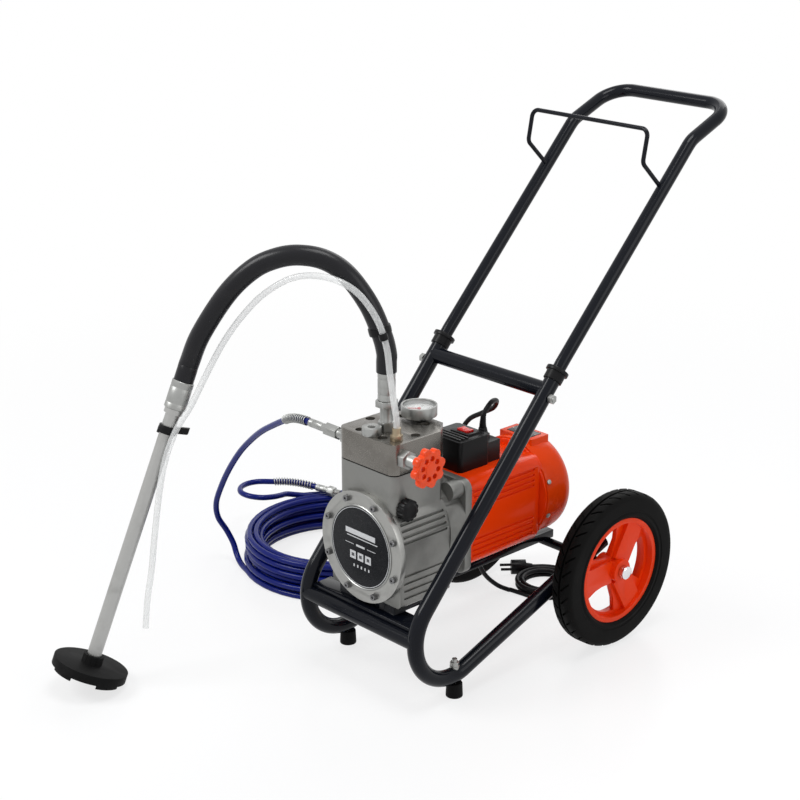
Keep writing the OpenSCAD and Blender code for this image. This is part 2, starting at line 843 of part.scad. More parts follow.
module pump_head() {
    color("#8b8680")
        difference() {
            head_block(head_z, head_h, 0);
            for (p = bolt_at) {
                translate([p[0], p[1], head_z - 1])
                    cylinder(h = head_h + 2, d = 9);
                translate([p[0], p[1], head_top_z - 12])
                    cylinder(h = 13, d = 15);
            }
            translate([bolt_ring_c[0], bolt_ring_c[1], head_z - 1])
                cylinder(h = 5, r = dish_r - 2);
            translate([0, port_y, head_z + 1])
                cylinder(h = head_h, d = 14);
            translate([return_at[0], return_at[1], head_top_z - 25])
                cylinder(h = 26, d = 10);
            rod_x([-head_half_w - 1, outlet_at[0], outlet_at[1]], 42, 12);
            rod_x([head_half_w - 30, valve_at[0], valve_at[1]], 31, 14);
            translate([gauge_at[0], gauge_at[1] - 4, head_top_z - 18])
                cylinder(h = 19, d = 8);
        }
}

module head_bolts() {
    color("#4a4c50")
        for (p = bolt_at)
            translate([p[0], p[1], 0])
                difference() {
                    union() {
                        translate([0, 0, seam_z - 20])
                            cylinder(h = head_top_z - seam_z + 9, d = 8);
                        translate([0, 0, head_top_z - 12])
                            cylinder(h = 8, d = 13);
                    }
                    translate([0, 0, head_top_z - 9])
                        hex(6.5, 7);
                }
}

module head_plug() {
    color("#97928b")
        translate([plug_at[0], plug_at[1], head_top_z])
            difference() {
                cylinder(h = 12, d = 30);
                translate([0, 0, 5])
                    hex(12, 8);
            }
}

module suction_fitting() {
    color("#b4b6b8")
        translate([0, port_y, head_top_z]) {
            hex(24, 14);
            translate([0, 0, -16])
                cylinder(h = 53, d = 13.9);
            translate([0, 0, 13])
                cylinder(h = 26, d = 20);
            translate([0, 0, 37])
                hex(30, 10);
        }
}

module return_fitting() {
    color("#b98a3c")
        translate([return_at[0], return_at[1], head_top_z]) {
            translate([0, 0, -16])
                cylinder(h = 20, d = 9.9);
            hex(17, 8);
            translate([0, 0, 8])
                cylinder(h = 5, d1 = 16, d2 = 13);
            translate([0, 0, 12])
                cylinder(h = 7, d = 13.6);
        }
}

module outlet_fitting() {
    l = outlet_nut_x - head_half_w;
    color("#b4b6b8")
        translate([-head_half_w, outlet_at[0], outlet_at[1]])
            rotate([0, -90, 0]) {
                translate([0, 0, -20])
                    cylinder(h = 24, d = 11.9);
                hex(22, 14);
                translate([0, 0, 13])
                    cylinder(h = 16, d = 15);
                translate([0, 0, 28])
                    hex(19, l - 28);
            }
}

module gauge_case() {
    color("#2a2b2d")
        translate([gauge_at[0], gauge_at[1], head_top_z]) {
            translate([0, -4, -14])
                cylinder(h = 20, d = 7.9);
            translate([0, -4, 0])
                hex(12, 5);
            difference() {
                translate([0, 0, 4])
                    cylinder(h = 17, d = gauge_d);
                translate([0, 0, 12])
                    cylinder(h = 10, d = gauge_d - 6);
            }
            translate([0, 0, 11])
                cylinder(h = 3, d = 2.4);
        }
}

module gauge_needle() {
    color("#c0281e")
        translate([gauge_at[0], gauge_at[1], head_top_z + 14.2]) {
            difference() {
                translate([0, 0, -1])
                    cylinder(h = 2, d = 5);
                translate([0, 0, -2])
                    cylinder(h = 2, d = 2.4 + 2 * run_clearance);
            }
            rotate([0, 0, 225])
                translate([2, -0.7, -0.4])
                    cube([17, 1.4, 0.8]);
        }
}

// Pressure valve: body with bonnet, screwed into the side of the head
module valve_body() {
    color("#b4b6b8")
        translate([head_half_w, valve_at[0], valve_at[1]])
            rotate([0, 90, 0])
                difference() {
                    union() {
                        translate([0, 0, -20])
                            cylinder(h = 24, d = 13.9);
                        hex(26, 12);
                        translate([0, 0, 11])
                            cylinder(h = 25, d = 19);
                    }
                    translate([0, 0, 6])
                        cylinder(h = 40, d = 8 + 2 * run_clearance);
                }
}

handwheel_x = 102;
module valve_handwheel() {
    lobe_r = handwheel_d / 2 - 6;
    color("#d8471d")
        translate([0, valve_at[0], valve_at[1]])
            rotate([0, 90, 0]) {
                translate([0, 0, head_half_w + 10])
                    cylinder(h = handwheel_x + 6 - head_half_w - 10, d = 8);
                translate([0, 0, handwheel_x])
                    cylinder(h = 18, d = 20);
                translate([0, 0, handwheel_x + 5])
                    difference() {
                        union() {
                            cylinder(h = 12, r = lobe_r);
                            for (a = [10:45:325])
                                rotate([0, 0, a])
                                    translate([lobe_r - 1.5, 0, 1])
                                        cylinder(h = 10, r = 7.4);
                        }
                        for (a = [32.5:45:350])
                            rotate([0, 0, a])
                                translate([15.6, 0, -1])
                                    cylinder(h = 14, d = 8.6);
                    }
            }
}

module oil_cap() {
    color("#1b1c1d")
        translate([head_half_w, oil_at[0], oil_at[1]])
            rotate([0, 90, 0])
                difference() {
                    union() {
                        translate([0, 0, -14])
                            cylinder(h = 16, d = oil_thread_d);
                        translate([0, 0, 0.3])
                            cylinder(h = 12.7, d = oil_cap_d);
                        translate([0, 0, 12])
                            cylinder(h = 4, d1 = oil_cap_d - 4, d2 = oil_cap_d - 14);
                    }
                    for (a = [0:30:330])
                        rotate([0, 0, a])
                            translate([oil_cap_d / 2 + 1, 0, 0])
                                cylinder(h = 14, d = 5);
                }
}

shaft_end_y = 34;
module crank_shaft() {
    color("#8f9296") {
        rod_y([0, pump_front_y + 1, shaft_z], shaft_end_y - pump_front_y - 1,
            shaft_d - 2 * run_clearance);
        rod_y([0, crank_y - crank_w / 2, shaft_z + crank_throw], crank_w, 2 * crank_r);
    }
}

// Ball bearings of the pump and motor shaft
module shaft_bearings() {
    color("#b9bcc0")
        for (y = [pump_front_y + 1, pump_front_y + 85, motor_end_y - 9])
            difference() {
                rod_y([0, y, shaft_z], 11, 42 - 2 * seat);
                rod_y([0, y - 1, shaft_z], 13, shaft_d);
            }
}

module piston() {
    color("#a7a9ac")
        translate([0, crank_y, piston_z])
            difference() {
                cylinder(h = seam_z - 16 - piston_stroke - piston_z, d = piston_d);
                translate([0, 0, 8])
                    cylinder(h = 100, d = piston_d - 10);
            }
}

module motor_flange() {
    color("#9a9b97")
        difference() {
            round_box_y(2 * motor_half_w + 12, 2 * motor_half_h + 10, 16, flange_y,
                motor_y - flange_y);
            rod_y([0, flange_y - 1, shaft_z], 20, 60);
        }
}

stator_r = 63;
rotor_d = 82;
core_y = motor_y + 34;
core_l = motor_length - 68;
module motor_body() {
    color("#dd4a20")
        difference() {
            round_box_y(2 * motor_half_w, 2 * motor_half_h, 20, motor_y, motor_length);
            rod_y([0, motor_y - 1, shaft_z], motor_length + 2, 2 * stator_r + 2 * seat);
            for (s = [-1, 1], z = [-54, -45, -36, -27, 27, 36, 45, 54])
                translate([s * (motor_half_w + 7), motor_y + motor_length / 2, shaft_z + z])
                    cube([22, motor_length - 20, 4], center = true);
        }
}

module stator() {
    color("#7b6650")
        difference() {
            union() {
                rod_y([0, core_y, shaft_z], core_l, 2 * stator_r);
                rod_y([0, core_y - 14, shaft_z], core_l + 30, 2 * stator_r - 8);
            }
            rod_y([0, core_y - 20, shaft_z], core_l + 40, rotor_d + 1);
        }
}

module rotor() {
    color("#8a8c8f")
        difference() {
            rod_y([0, core_y, shaft_z], core_l, rotor_d);
            rod_y([0, core_y - 1, shaft_z], core_l + 2, shaft_d - 2 * run_clearance);
        }
}

end_shield_t = 8;
module end_shield() {
    y = motor_end_y;
    color("#1b1b1c")
        difference() {
            union() {
                round_box_y(2 * motor_half_w - 6, 2 * motor_half_h - 6, 20, y, end_shield_t);
                rod_y([0, y - 10, shaft_z], 14, 54);
                rod_y([0, y + 4, shaft_z], end_shield_t + 8, 2 * fan_cover_r - 5.2);
            }
            rod_y([0, y + end_shield_t, shaft_z], 20, 2 * fan_cover_r - 20);
            at_cover_screws()
                translate([0, 0, fan_cover_r - 12])
                    cylinder(h = 12, d = 5);
            rod_y([0, y - 9, shaft_z], 11, 42);
            rod_y([0, y - 11, shaft_z], 40, shaft_d + 4);
        }
}

fan_y = 2;
module cooling_fan() {
    color("#2a2b2e")
        difference() {
            union() {
                rod_y([0, fan_y, shaft_z], 26, 34);
                rod_y([0, fan_y, shaft_z], 3, 130);
                for (a = [0:45:315])
                    translate([0, fan_y + 1, shaft_z])
                        rotate([0, a, 0])
                            translate([14, 0, -1.5])
                                cube([50, 22, 3]);
            }
            rod_y([0, fan_y - 1, shaft_z], 40, shaft_d - 2 * run_clearance);
        }
}

fan_cover_y = motor_end_y + end_shield_t;
module dome(r, y0, y1) {
    q = 32;
    translate([0, 0, shaft_z])
        rotate([-90, 0, 0])
            rotate_extrude($fn = 96) {
                translate([0, y0])
                    square([r - q, y1 - y0]);
                translate([0, y0])
                    square([r, y1 - y0 - q]);
                intersection() {
                    translate([r - q, y1 - q])
                        circle(r = q);
                    translate([0, y1 - q - 2])
                        square([r + 1, q + 3]);
                }
            }
}

module fan_cover() {
    y1 = 52;
    color("#c8461f")
        difference() {
            union() {
                dome(fan_cover_r, fan_cover_y, y1);
                translate([-35, -8, shaft_z])
                    cube([70, 40, fan_cover_r + 3]);
            }
            dome(fan_cover_r - 2.5, fan_cover_y - 1, y1 - 2.5);
            at_cover_screws()
                translate([0, 0, fan_cover_r - 6])
                    cylinder(h = 12, d = 5);
            for (a = [0:20:340])
                translate([0, y1 - 12, shaft_z])
                    rotate([0, a, 0])
                        translate([24, 0, -2])
                            cube([30, 20, 4]);
        }
}

// Four places round the rim of the fan cover, each looking outward
module at_cover_screws() {
    for (a = [20, 160, 200, 340])
        translate([0, fan_cover_y + 5, shaft_z])
            rotate([0, a, 0])
                rotate([0, 90, 0])
                    children();
}

module fan_cover_screws() {
    color("#b9bcc0")
        at_cover_screws() {
            translate([0, 0, fan_cover_r + 0.01])
                cylinder(h = 2.2, d = 8);
            translate([0, 0, fan_cover_r - 8])
                cylinder(h = 9, d = 4.6);
        }
}

rocker_at = [4, -128];
rocker_z = box_z + box_h + 1;
rocker_pin_d = 2.9;
module switch_box() {
    color("#1d1e21") {
        rod_y([rocker_at[0], rocker_at[1] - 8.5, rocker_z - 3], 17, rocker_pin_d);
        difference() {
            union() {
                translate([0, box_y + box_length / 2, box_z])
                    round_block(2 * box_half_w, box_length, box_h, 7);
                translate([-20, box_y + box_length - 1, box_z])
                    cube([52, 28, gland_z - box_z]);
                for (y = [box_y + 6, box_y + 14, box_y + 22])
                    translate([-box_half_w + 8, y, box_z + box_h - 1])
                        cube([2 * box_half_w - 16, 4, 3]);
                translate([rocker_at[0] - 19, rocker_at[1] - 14, box_z + box_h - 1])
                    cube([38, 28, 4]);
            }
            translate([-box_half_w + 3, box_y + 3, box_z - 1])
                cube([2 * box_half_w - 6, box_length - 6, box_h - 2]);
            translate([rocker_at[0] - 12.6, rocker_at[1] - 7.8, box_z + 20])
                cube([25.2, 15.6, box_h]);
            translate([gland_at[0], gland_at[1], box_z + 8])
                cylinder(h = box_h, d = 12);
        }
    }
}

module rocker_switch() {
    color("#c9251c")
        translate([rocker_at[0], rocker_at[1], rocker_z])
            intersection() {
                translate([-11, -7.4, -8])
                    cube([22, 14.8, 12.5]);
                translate([0, 7.4, 14])
                    rotate([90, 0, 0])
                        difference() {
                            cylinder(h = 14.8, r = 26);
                            translate([0, 12, -1])
                                cylinder(h = 17, r = 22.4);
                            translate([0, -17, -1])
                                cylinder(h = 17, d = rocker_pin_d + 0.1);
                        }
            }
}

module cable_gland() {
    color("#55585c")
        translate([gland_at[0], gland_at[1], gland_z])
            difference() {
                union() {
                    translate([0, 0, -8])
                        cylinder(h = 10, d = 11.9);
                    hex(20, 6);
                    translate([0, 0, 5])
                        cylinder(h = gland_h - 5, d1 = 18, d2 = 13);
                }
                translate([0, 0, -9])
                    cylinder(h = 12, d = 6);
            }
}

// Places something drawn along +Z on the tilted suction pipe
module on_pipe(t) {
    translate(pipe_base)
        rotate([0, pipe_tilt, pipe_heading])
            translate([0, 0, t])
                children();
}

// Places something drawn along +Z at a point, looking along a direction
module aim(at, v) {
    translate(at)
        rotate([0, acos(v[2] / norm(v)), atan2(v[1], v[0])])
            children();
}

module suction_pipe() {
    color("#b0b2b1")
        on_pipe(pipe_z0)
            difference() {
                union() {
                    cylinder(h = suction_pipe_l, d = suction_pipe_d);
                    translate([0, 0, suction_pipe_l - 4])
                        cylinder(h = 4 + ferrule_gap, d = suction_pipe_d + 7);
                }
                translate([0, 0, -1])
                    cylinder(h = suction_pipe_l + 20, d = suction_pipe_d - 4);
            }
}

module strainer() {
    color("#191a1b")
        on_pipe(0)
            difference() {
                union() {
                    translate([0, 0, lug_h])
                        cylinder(h = strainer_t, d = strainer_d);
                    cylinder(h = lug_h + 1, r = lug_r);
                    translate([0, 0, lug_h + strainer_t - 1])
                        cylinder(h = neck_h, d = 33);
                }
                translate([0, 0, -1])
                    cylinder(h = lug_h + 6, r = lug_r - 6);
                translate([0, 0, 8])
                    cylinder(h = 60, d = suction_pipe_d);
                for (a = [60:90:330])
                    rotate([0, 0, a])
                        translate([lug_r - 12, -20, -2])
                            cube([30, 40, lug_h + 1]);
                for (a = [0:30:330])
                    rotate([0, 0, a])
                        translate([17.5, 0, lug_h + strainer_t + 2])
                            cylinder(h = 30, d = 3);
            }
}

paint_coil_in = paint_coil_path[0];
paint_coil_in_dir = flat(paint_coil_path[1] - paint_coil_path[0]);
paint_coil_out = paint_coil_path[len(paint_coil_path) - 1];
paint_coil_out_dir = flat(paint_coil_out - paint_coil_path[len(paint_coil_path) - 2]);
gun_end = gun_guard[2] + 6 * unit(gun_dir);
function bezier(p, t) = (1 - t) * (1 - t) * p[0] + 2 * t * (1 - t) * p[1] + t * t * p[2];
function bezier_slope(p, t) = unit((1 - t) * (p[1] - p[0]) + t * (p[2] - p[1]));

module suction_hose() {
    color("#26272a")
        sweep(smooth(suction_route, 1), suction_hose_d, 12);
}

module return_tube() {
    color("#c9cbc4")
        sweep(smooth(return_route, 1), return_tube_d, 8);
}

// Free run of the paint hose, from the outlet to the coil on the floor
module paint_hose_run() {
    route = concat([outlet_at_hose], [for (t = [0:0.25:1]) bezier(outlet_guard, t)],
        paint_route_mid, [for (k = [1, 0]) paint_coil_in - 11 * k * paint_coil_in_dir]);
    color("#1d4fae")
        sweep(smooth(route, 1), paint_hose_d, 8);
}

module paint_hose_coil() {
    color("#1d4fae")
        sweep(paint_coil_path, paint_hose_d, 6);
}

// End of the paint hose that takes the spray gun
module paint_hose_end() {
    route = concat([paint_coil_out, paint_coil_out + 11 * paint_coil_out_dir,
        paint_coil_out + 24 * paint_coil_out_dir + [0, 0, 2]], gun_route_mid,
        [for (t = [0:0.25:1]) bezier(gun_guard, t)], [gun_end]);
    color("#1d4fae")
        sweep(smooth(route, 1), paint_hose_d, 8);
}

// Spring guard wound round a bent stretch of hose
module guard(p) {
    r = (paint_hose_d + guard_wire_d) / 2 + 0.4;
    n = 8 * guard_turns;
    ring = [for (i = [0:n]) let (t = i / n, v = bezier_slope(p, t), u = square_to([0, 0, 1], v))
        bezier(p, t) + r * (cos(45 * i) * u + sin(45 * i) * cross(v, u))];
    sweep(ring, guard_wire_d, 6);
}

module hose_springs() {
    color("#b9bcc0") {
        guard(outlet_guard);
        guard(gun_guard);
    }
}

// Crimped ferrules at the ends of both hoses, and the swivel nut for the gun
module hose_ferrules() {
    color("#c3c6c8") {
        on_pipe(pipe_end + ferrule_gap)
            difference() {
                cylinder(h = ferrule_l, d = 34);
                translate([0, 0, 6])
                    cylinder(h = ferrule_l - 12, d = 18);
            }
        translate([0, port_y, head_top_z + 47])
            cylinder(h = ferrule_l, d = 27);
        rod_x([-paint_start_x, outlet_at[0], outlet_at[1]], paint_ferrule_l, 13.4);
        aim(gun_end, gun_dir) {
            cylinder(h = 27, d = 13.4);
            translate([0, 0, 26])
                hex(17, 14);
            translate([0, 0, 39])
                cylinder(h = 12, d = 13.1);
        }
    }
}

// Clips that hold the return tube to the pipe and to the suction hose
clip_t = 403;
module hose_clips() {
    color("#1b1c1d")
        on_pipe(clip_t)
            difference() {
                cylinder(h = 12, d = suction_pipe_d + 7);
                translate([0, 0, -1])
                    cylinder(h = 14, d = suction_pipe_d);
            }
}

module mains_run() {
    coil_in = mains_coil_path[0];
    d = flat(mains_coil_path[1] - coil_in);
    route = concat(mains_route, [for (k = [2, 1, 0]) coil_in - 9 * k * d]);
    color("#18191b")
        sweep(smooth(route, 1), mains_d, 8);
}

module mains_coil() {
    color("#18191b")
        sweep(mains_coil_path, mains_d, 6);
}

// Round-pin mains plug at the end of the lead
module mains_plug() {
    n = len(mains_coil_path) - 1;
    at = mains_coil_path[n];
    d = flat(at - mains_coil_path[n - 1]);
    color("#18191b")
        aim(at, d) {
            cylinder(h = 12, d1 = 11, d2 = 15);
            translate([0, 0, 12])
                cylinder(h = 26, d = 26);
            for (y = [-9.5, 9.5])
                translate([0, y, 37])
                    cylinder(h = 20, d = 4.8);
        }
}

side_tube_right();
side_tube_left();
crossbars();
axle();
base_rails();
front_bracket();
motor_foot();
feet();
frame_bolts();
slide_collars();
handle_tube();
hose_rack();
rim_right();
tyre_right();
rim_left();
tyre_left();
axle_nuts();
pump_housing();
crank_cover();
cover_screws();
head_gasket();
diaphragm();
pump_head();
head_bolts();
head_plug();
suction_fitting();
return_fitting();
outlet_fitting();
gauge_case();
gauge_needle();
valve_body();
valve_handwheel();
oil_cap();
crank_shaft();
shaft_bearings();
piston();
motor_flange();
motor_body();
stator();
rotor();
end_shield();
cooling_fan();
fan_cover();
fan_cover_screws();
switch_box();
rocker_switch();
cable_gland();
suction_hose();
hose_ferrules();
hose_clips();
suction_pipe();
strainer();
return_tube();
paint_hose_run();
paint_hose_coil();
paint_hose_end();
hose_springs();
mains_run();
mains_coil();
mains_plug();
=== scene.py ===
"""Airless paint sprayer on a two-wheeled cart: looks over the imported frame."""

import json
import logging
import math
from dataclasses import dataclass, field
from enum import Enum
from typing import Any, Callable, Sequence

import bpy
from mathutils import Matrix, Vector

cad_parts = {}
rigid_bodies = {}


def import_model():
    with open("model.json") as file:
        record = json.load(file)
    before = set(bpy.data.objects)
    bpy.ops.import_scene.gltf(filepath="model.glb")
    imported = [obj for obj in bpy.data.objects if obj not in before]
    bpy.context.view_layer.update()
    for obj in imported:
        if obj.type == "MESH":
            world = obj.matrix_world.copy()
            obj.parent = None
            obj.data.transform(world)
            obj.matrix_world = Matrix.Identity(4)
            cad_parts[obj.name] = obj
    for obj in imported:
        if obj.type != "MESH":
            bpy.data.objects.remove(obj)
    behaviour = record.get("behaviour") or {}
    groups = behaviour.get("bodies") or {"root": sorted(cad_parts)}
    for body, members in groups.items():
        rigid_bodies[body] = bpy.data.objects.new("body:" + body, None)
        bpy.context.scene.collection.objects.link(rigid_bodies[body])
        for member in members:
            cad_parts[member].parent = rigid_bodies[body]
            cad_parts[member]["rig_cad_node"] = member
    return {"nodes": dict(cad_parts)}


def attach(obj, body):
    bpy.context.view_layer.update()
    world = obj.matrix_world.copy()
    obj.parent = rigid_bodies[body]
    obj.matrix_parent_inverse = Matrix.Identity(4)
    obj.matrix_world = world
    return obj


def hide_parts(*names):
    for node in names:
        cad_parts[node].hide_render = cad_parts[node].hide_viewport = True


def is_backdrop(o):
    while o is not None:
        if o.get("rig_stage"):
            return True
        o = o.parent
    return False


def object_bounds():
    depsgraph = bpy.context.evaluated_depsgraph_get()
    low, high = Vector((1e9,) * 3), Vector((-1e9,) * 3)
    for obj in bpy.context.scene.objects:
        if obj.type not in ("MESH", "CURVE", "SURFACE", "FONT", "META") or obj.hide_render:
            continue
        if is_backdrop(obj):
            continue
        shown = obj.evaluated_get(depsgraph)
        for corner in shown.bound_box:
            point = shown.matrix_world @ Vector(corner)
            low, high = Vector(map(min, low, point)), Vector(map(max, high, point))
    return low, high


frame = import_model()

logging.basicConfig(level=logging.INFO, format="%(message)s")
LOG = logging.getLogger("sprayer")
MM = 0.001
Point = tuple[float, float, float]
PIPE_BASE: Point = (-0.286, -0.662, 0.02019)
PIPE_WAY: Point = (0.0883, 0.3624, 0.9278)
COVER_FACE: Point = (0, -0.34601, 0.234)
Colour = tuple[float, float, float]
NODES: dict[str, bpy.types.Object] = frame["nodes"]


# ---------------------------------------------------------------- shader maths


class Wire:
    """A socket, or a number, whose arithmetic adds Math nodes."""

    def __init__(self, shader: "Graph", socket: Any) -> None:
        """Args: shader: the graph that owns the nodes. socket: a socket or a number."""
        self.shader = shader
        self.socket = socket

    def _math(self, operation: str, *values: Any) -> "Wire":
        """One Math node.

        Args:
            operation: the node's operation.
            values: wires, sockets or numbers.

        Returns:
            The node's output.
        """
        sockets = {i: v.socket if isinstance(v, Wire) else v for i, v in enumerate(values)}
        node = self.shader.node("ShaderNodeMath", {"operation": operation}, sockets)
        return Wire(self.shader, node.outputs[0])

    def __add__(self, other: Any) -> "Wire":
        """self + other."""
        return self._math("ADD", self, other)

    __radd__ = __add__

    def __sub__(self, other: Any) -> "Wire":
        """self - other."""
        return self._math("SUBTRACT", self, other)

    def __rsub__(self, other: Any) -> "Wire":
        """other - self."""
        return self._math("SUBTRACT", other, self)

    def __mul__(self, other: Any) -> "Wire":
        """self * other."""
        return self._math("MULTIPLY", self, other)

    __rmul__ = __mul__

    def __truediv__(self, other: Any) -> "Wire":
        """self / other."""
        return self._math("DIVIDE", self, other)

    def __pow__(self, other: Any) -> "Wire":
        """self to a power."""
        return self._math("POWER", self, other)

    def smaller(self, other: Any) -> "Wire":
        """The smaller of two values."""
        return self._math("MINIMUM", self, other)

    def wave(self) -> "Wire":
        """Sine of the value."""
        return self._math("SINE", self)

    def size(self) -> "Wire":
        """The value without its sign."""
        return self._math("ABSOLUTE", self)

    def step(self, low: float, high: float) -> "Wire":
        """Smooth step from 0 at low to 1 at high.

        Args:
            low: the value that gives 0.
            high: the value that gives 1.

        Returns:
            The stepped value.
        """
        settings = {"interpolation_type": "SMOOTHSTEP"}
        node = self.shader.node(
            "ShaderNodeMapRange", settings, {"Value": self.socket, "From Min": low, "From Max": high}
        )
        return Wire(self.shader, node.outputs[0])


class Graph:
    """A node tree under construction."""

    def __init__(self, tree: bpy.types.NodeTree) -> None:
        """Args: tree: the tree, which is emptied."""
        self.tree = tree
        self.tree.nodes.clear()

    def node(self, kind: str, settings: dict[str, Any], sockets: dict[Any, Any]) -> bpy.types.Node:
        """Adds a node.

        Args:
            kind: the node's type.
            settings: attributes, set first.
            sockets: input name or number to a value, a wire or a linked socket.

        Returns:
            The new node.
        """
        made = self.tree.nodes.new(kind)
        for key, value in settings.items():
            setattr(made, key, value)
        for key, value in sockets.items():
            self.feed(made.inputs[key], value)
        return made

    def feed(self, target: bpy.types.NodeSocket, value: Any) -> None:
        """Links a wire or a socket into a socket, or sets its value."""
        if isinstance(value, Wire):
            value = value.socket
        if isinstance(value, bpy.types.NodeSocket):
            self.tree.links.new(value, target)
        else:
            target.default_value = value

    def seen(self) -> Wire:
        """1 for rays from the camera, off glossy faces and through clear ones."""
        path = self.node("ShaderNodeLightPath", {}, {})
        rays = [Wire(self, path.outputs[f"Is {kind} Ray"]) for kind in ("Camera", "Glossy", "Transmission")]
        return (rays[0] + rays[1] + rays[2]).smaller(1.0)


class Shader(Graph):
    """A material under construction."""

    def __init__(self, name: str) -> None:
        """Args: name: the material's name."""
        self.material = bpy.data.materials.new(name)
        self.material.use_nodes = True
        super().__init__(self.material.node_tree)
        self.surface = self.node("ShaderNodeBsdfPrincipled", {}, {})
        self.output = self.node("ShaderNodeOutputMaterial", {}, {"Surface": self.surface.outputs[0]})
        self.place = self.node("ShaderNodeTexCoord", {}, {}).outputs["Object"]

    def noise(self, scale: float, detail: float = 2.0, stretch: Point = (1, 1, 1)) -> Wire:
        """Noise over the object, with features about 1/scale metres wide.

        Args:
            scale: features a metre.
            detail: octaves.
            stretch: scale along each axis.

        Returns:
            The noise, from 0 to 1.
        """
        mapped = self.node("ShaderNodeMapping", {}, {"Vector": self.place, "Scale": stretch})
        made = self.node(
            "ShaderNodeTexNoise",
            {},
            {"Vector": mapped.outputs[0], "Scale": scale, "Detail": detail, "Roughness": 0.55},
        )
        return Wire(self, made.outputs[0])

    def cells(self, scale: float) -> Wire:
        """Distance to the nearest cell point, scale cells a metre."""
        made = self.node("ShaderNodeTexVoronoi", {}, {"Vector": self.place, "Scale": scale})
        return Wire(self, made.outputs["Distance"])

    def axes(self) -> tuple[Wire, Wire, Wire]:
        """The three object coordinates, in metres."""
        split = self.node("ShaderNodeSeparateXYZ", {}, {"Vector": self.place})
        return tuple(Wire(self, split.outputs[i]) for i in range(3))

    def mix(self, factor: Any, low: Any, high: Any) -> Any:
        """Blend of two colours.

        Args:
            factor: 0 for low, 1 for high.
            low: colour or colour socket.
            high: colour or colour socket.

        Returns:
            A colour socket.
        """
        pair = [(*c, 1.0) if isinstance(c, tuple) and len(c) == 3 else c for c in (low, high)]
        made = self.node(
            "ShaderNodeMix", {"data_type": "RGBA"}, {"Factor": factor, 6: pair[0], 7: pair[1]}
        )
        return made.outputs[2]

    def relief(self, height: Wire, depth: float, strength: float = 1.0) -> None:
        """Raises the surface's normal by a height field.

        Args:
            height: the field, from 0 to 1.
            depth: its real depth, in metres.
            strength: how much of it shows.
        """
        bump = self.node(
            "ShaderNodeBump", {}, {"Height": height, "Distance": depth, "Strength": strength}
        )
        self.tree.links.new(bump.outputs[0], self.surface.inputs["Normal"])

    def set(self, **sockets: Any) -> None:
        """Sets or links sockets of the surface, named with _ for a space."""
        for key, value in sockets.items():
            if isinstance(value, tuple) and len(value) == 3:
                value = (*value, 1.0)
            self.feed(self.surface.inputs[key.replace("_", " ")], value)


# ---------------------------------------------------------------- finishes


class Style(Enum):
    """How a finish is made."""

    PAINT = "gloss paint over metal"
    CAST = "cast metal"
    MACHINED = "machined metal"
    PLATED = "plated metal"
    PLASTIC = "moulded plastic"
    RUBBER = "rubber"
    CLEAR = "clear tube"


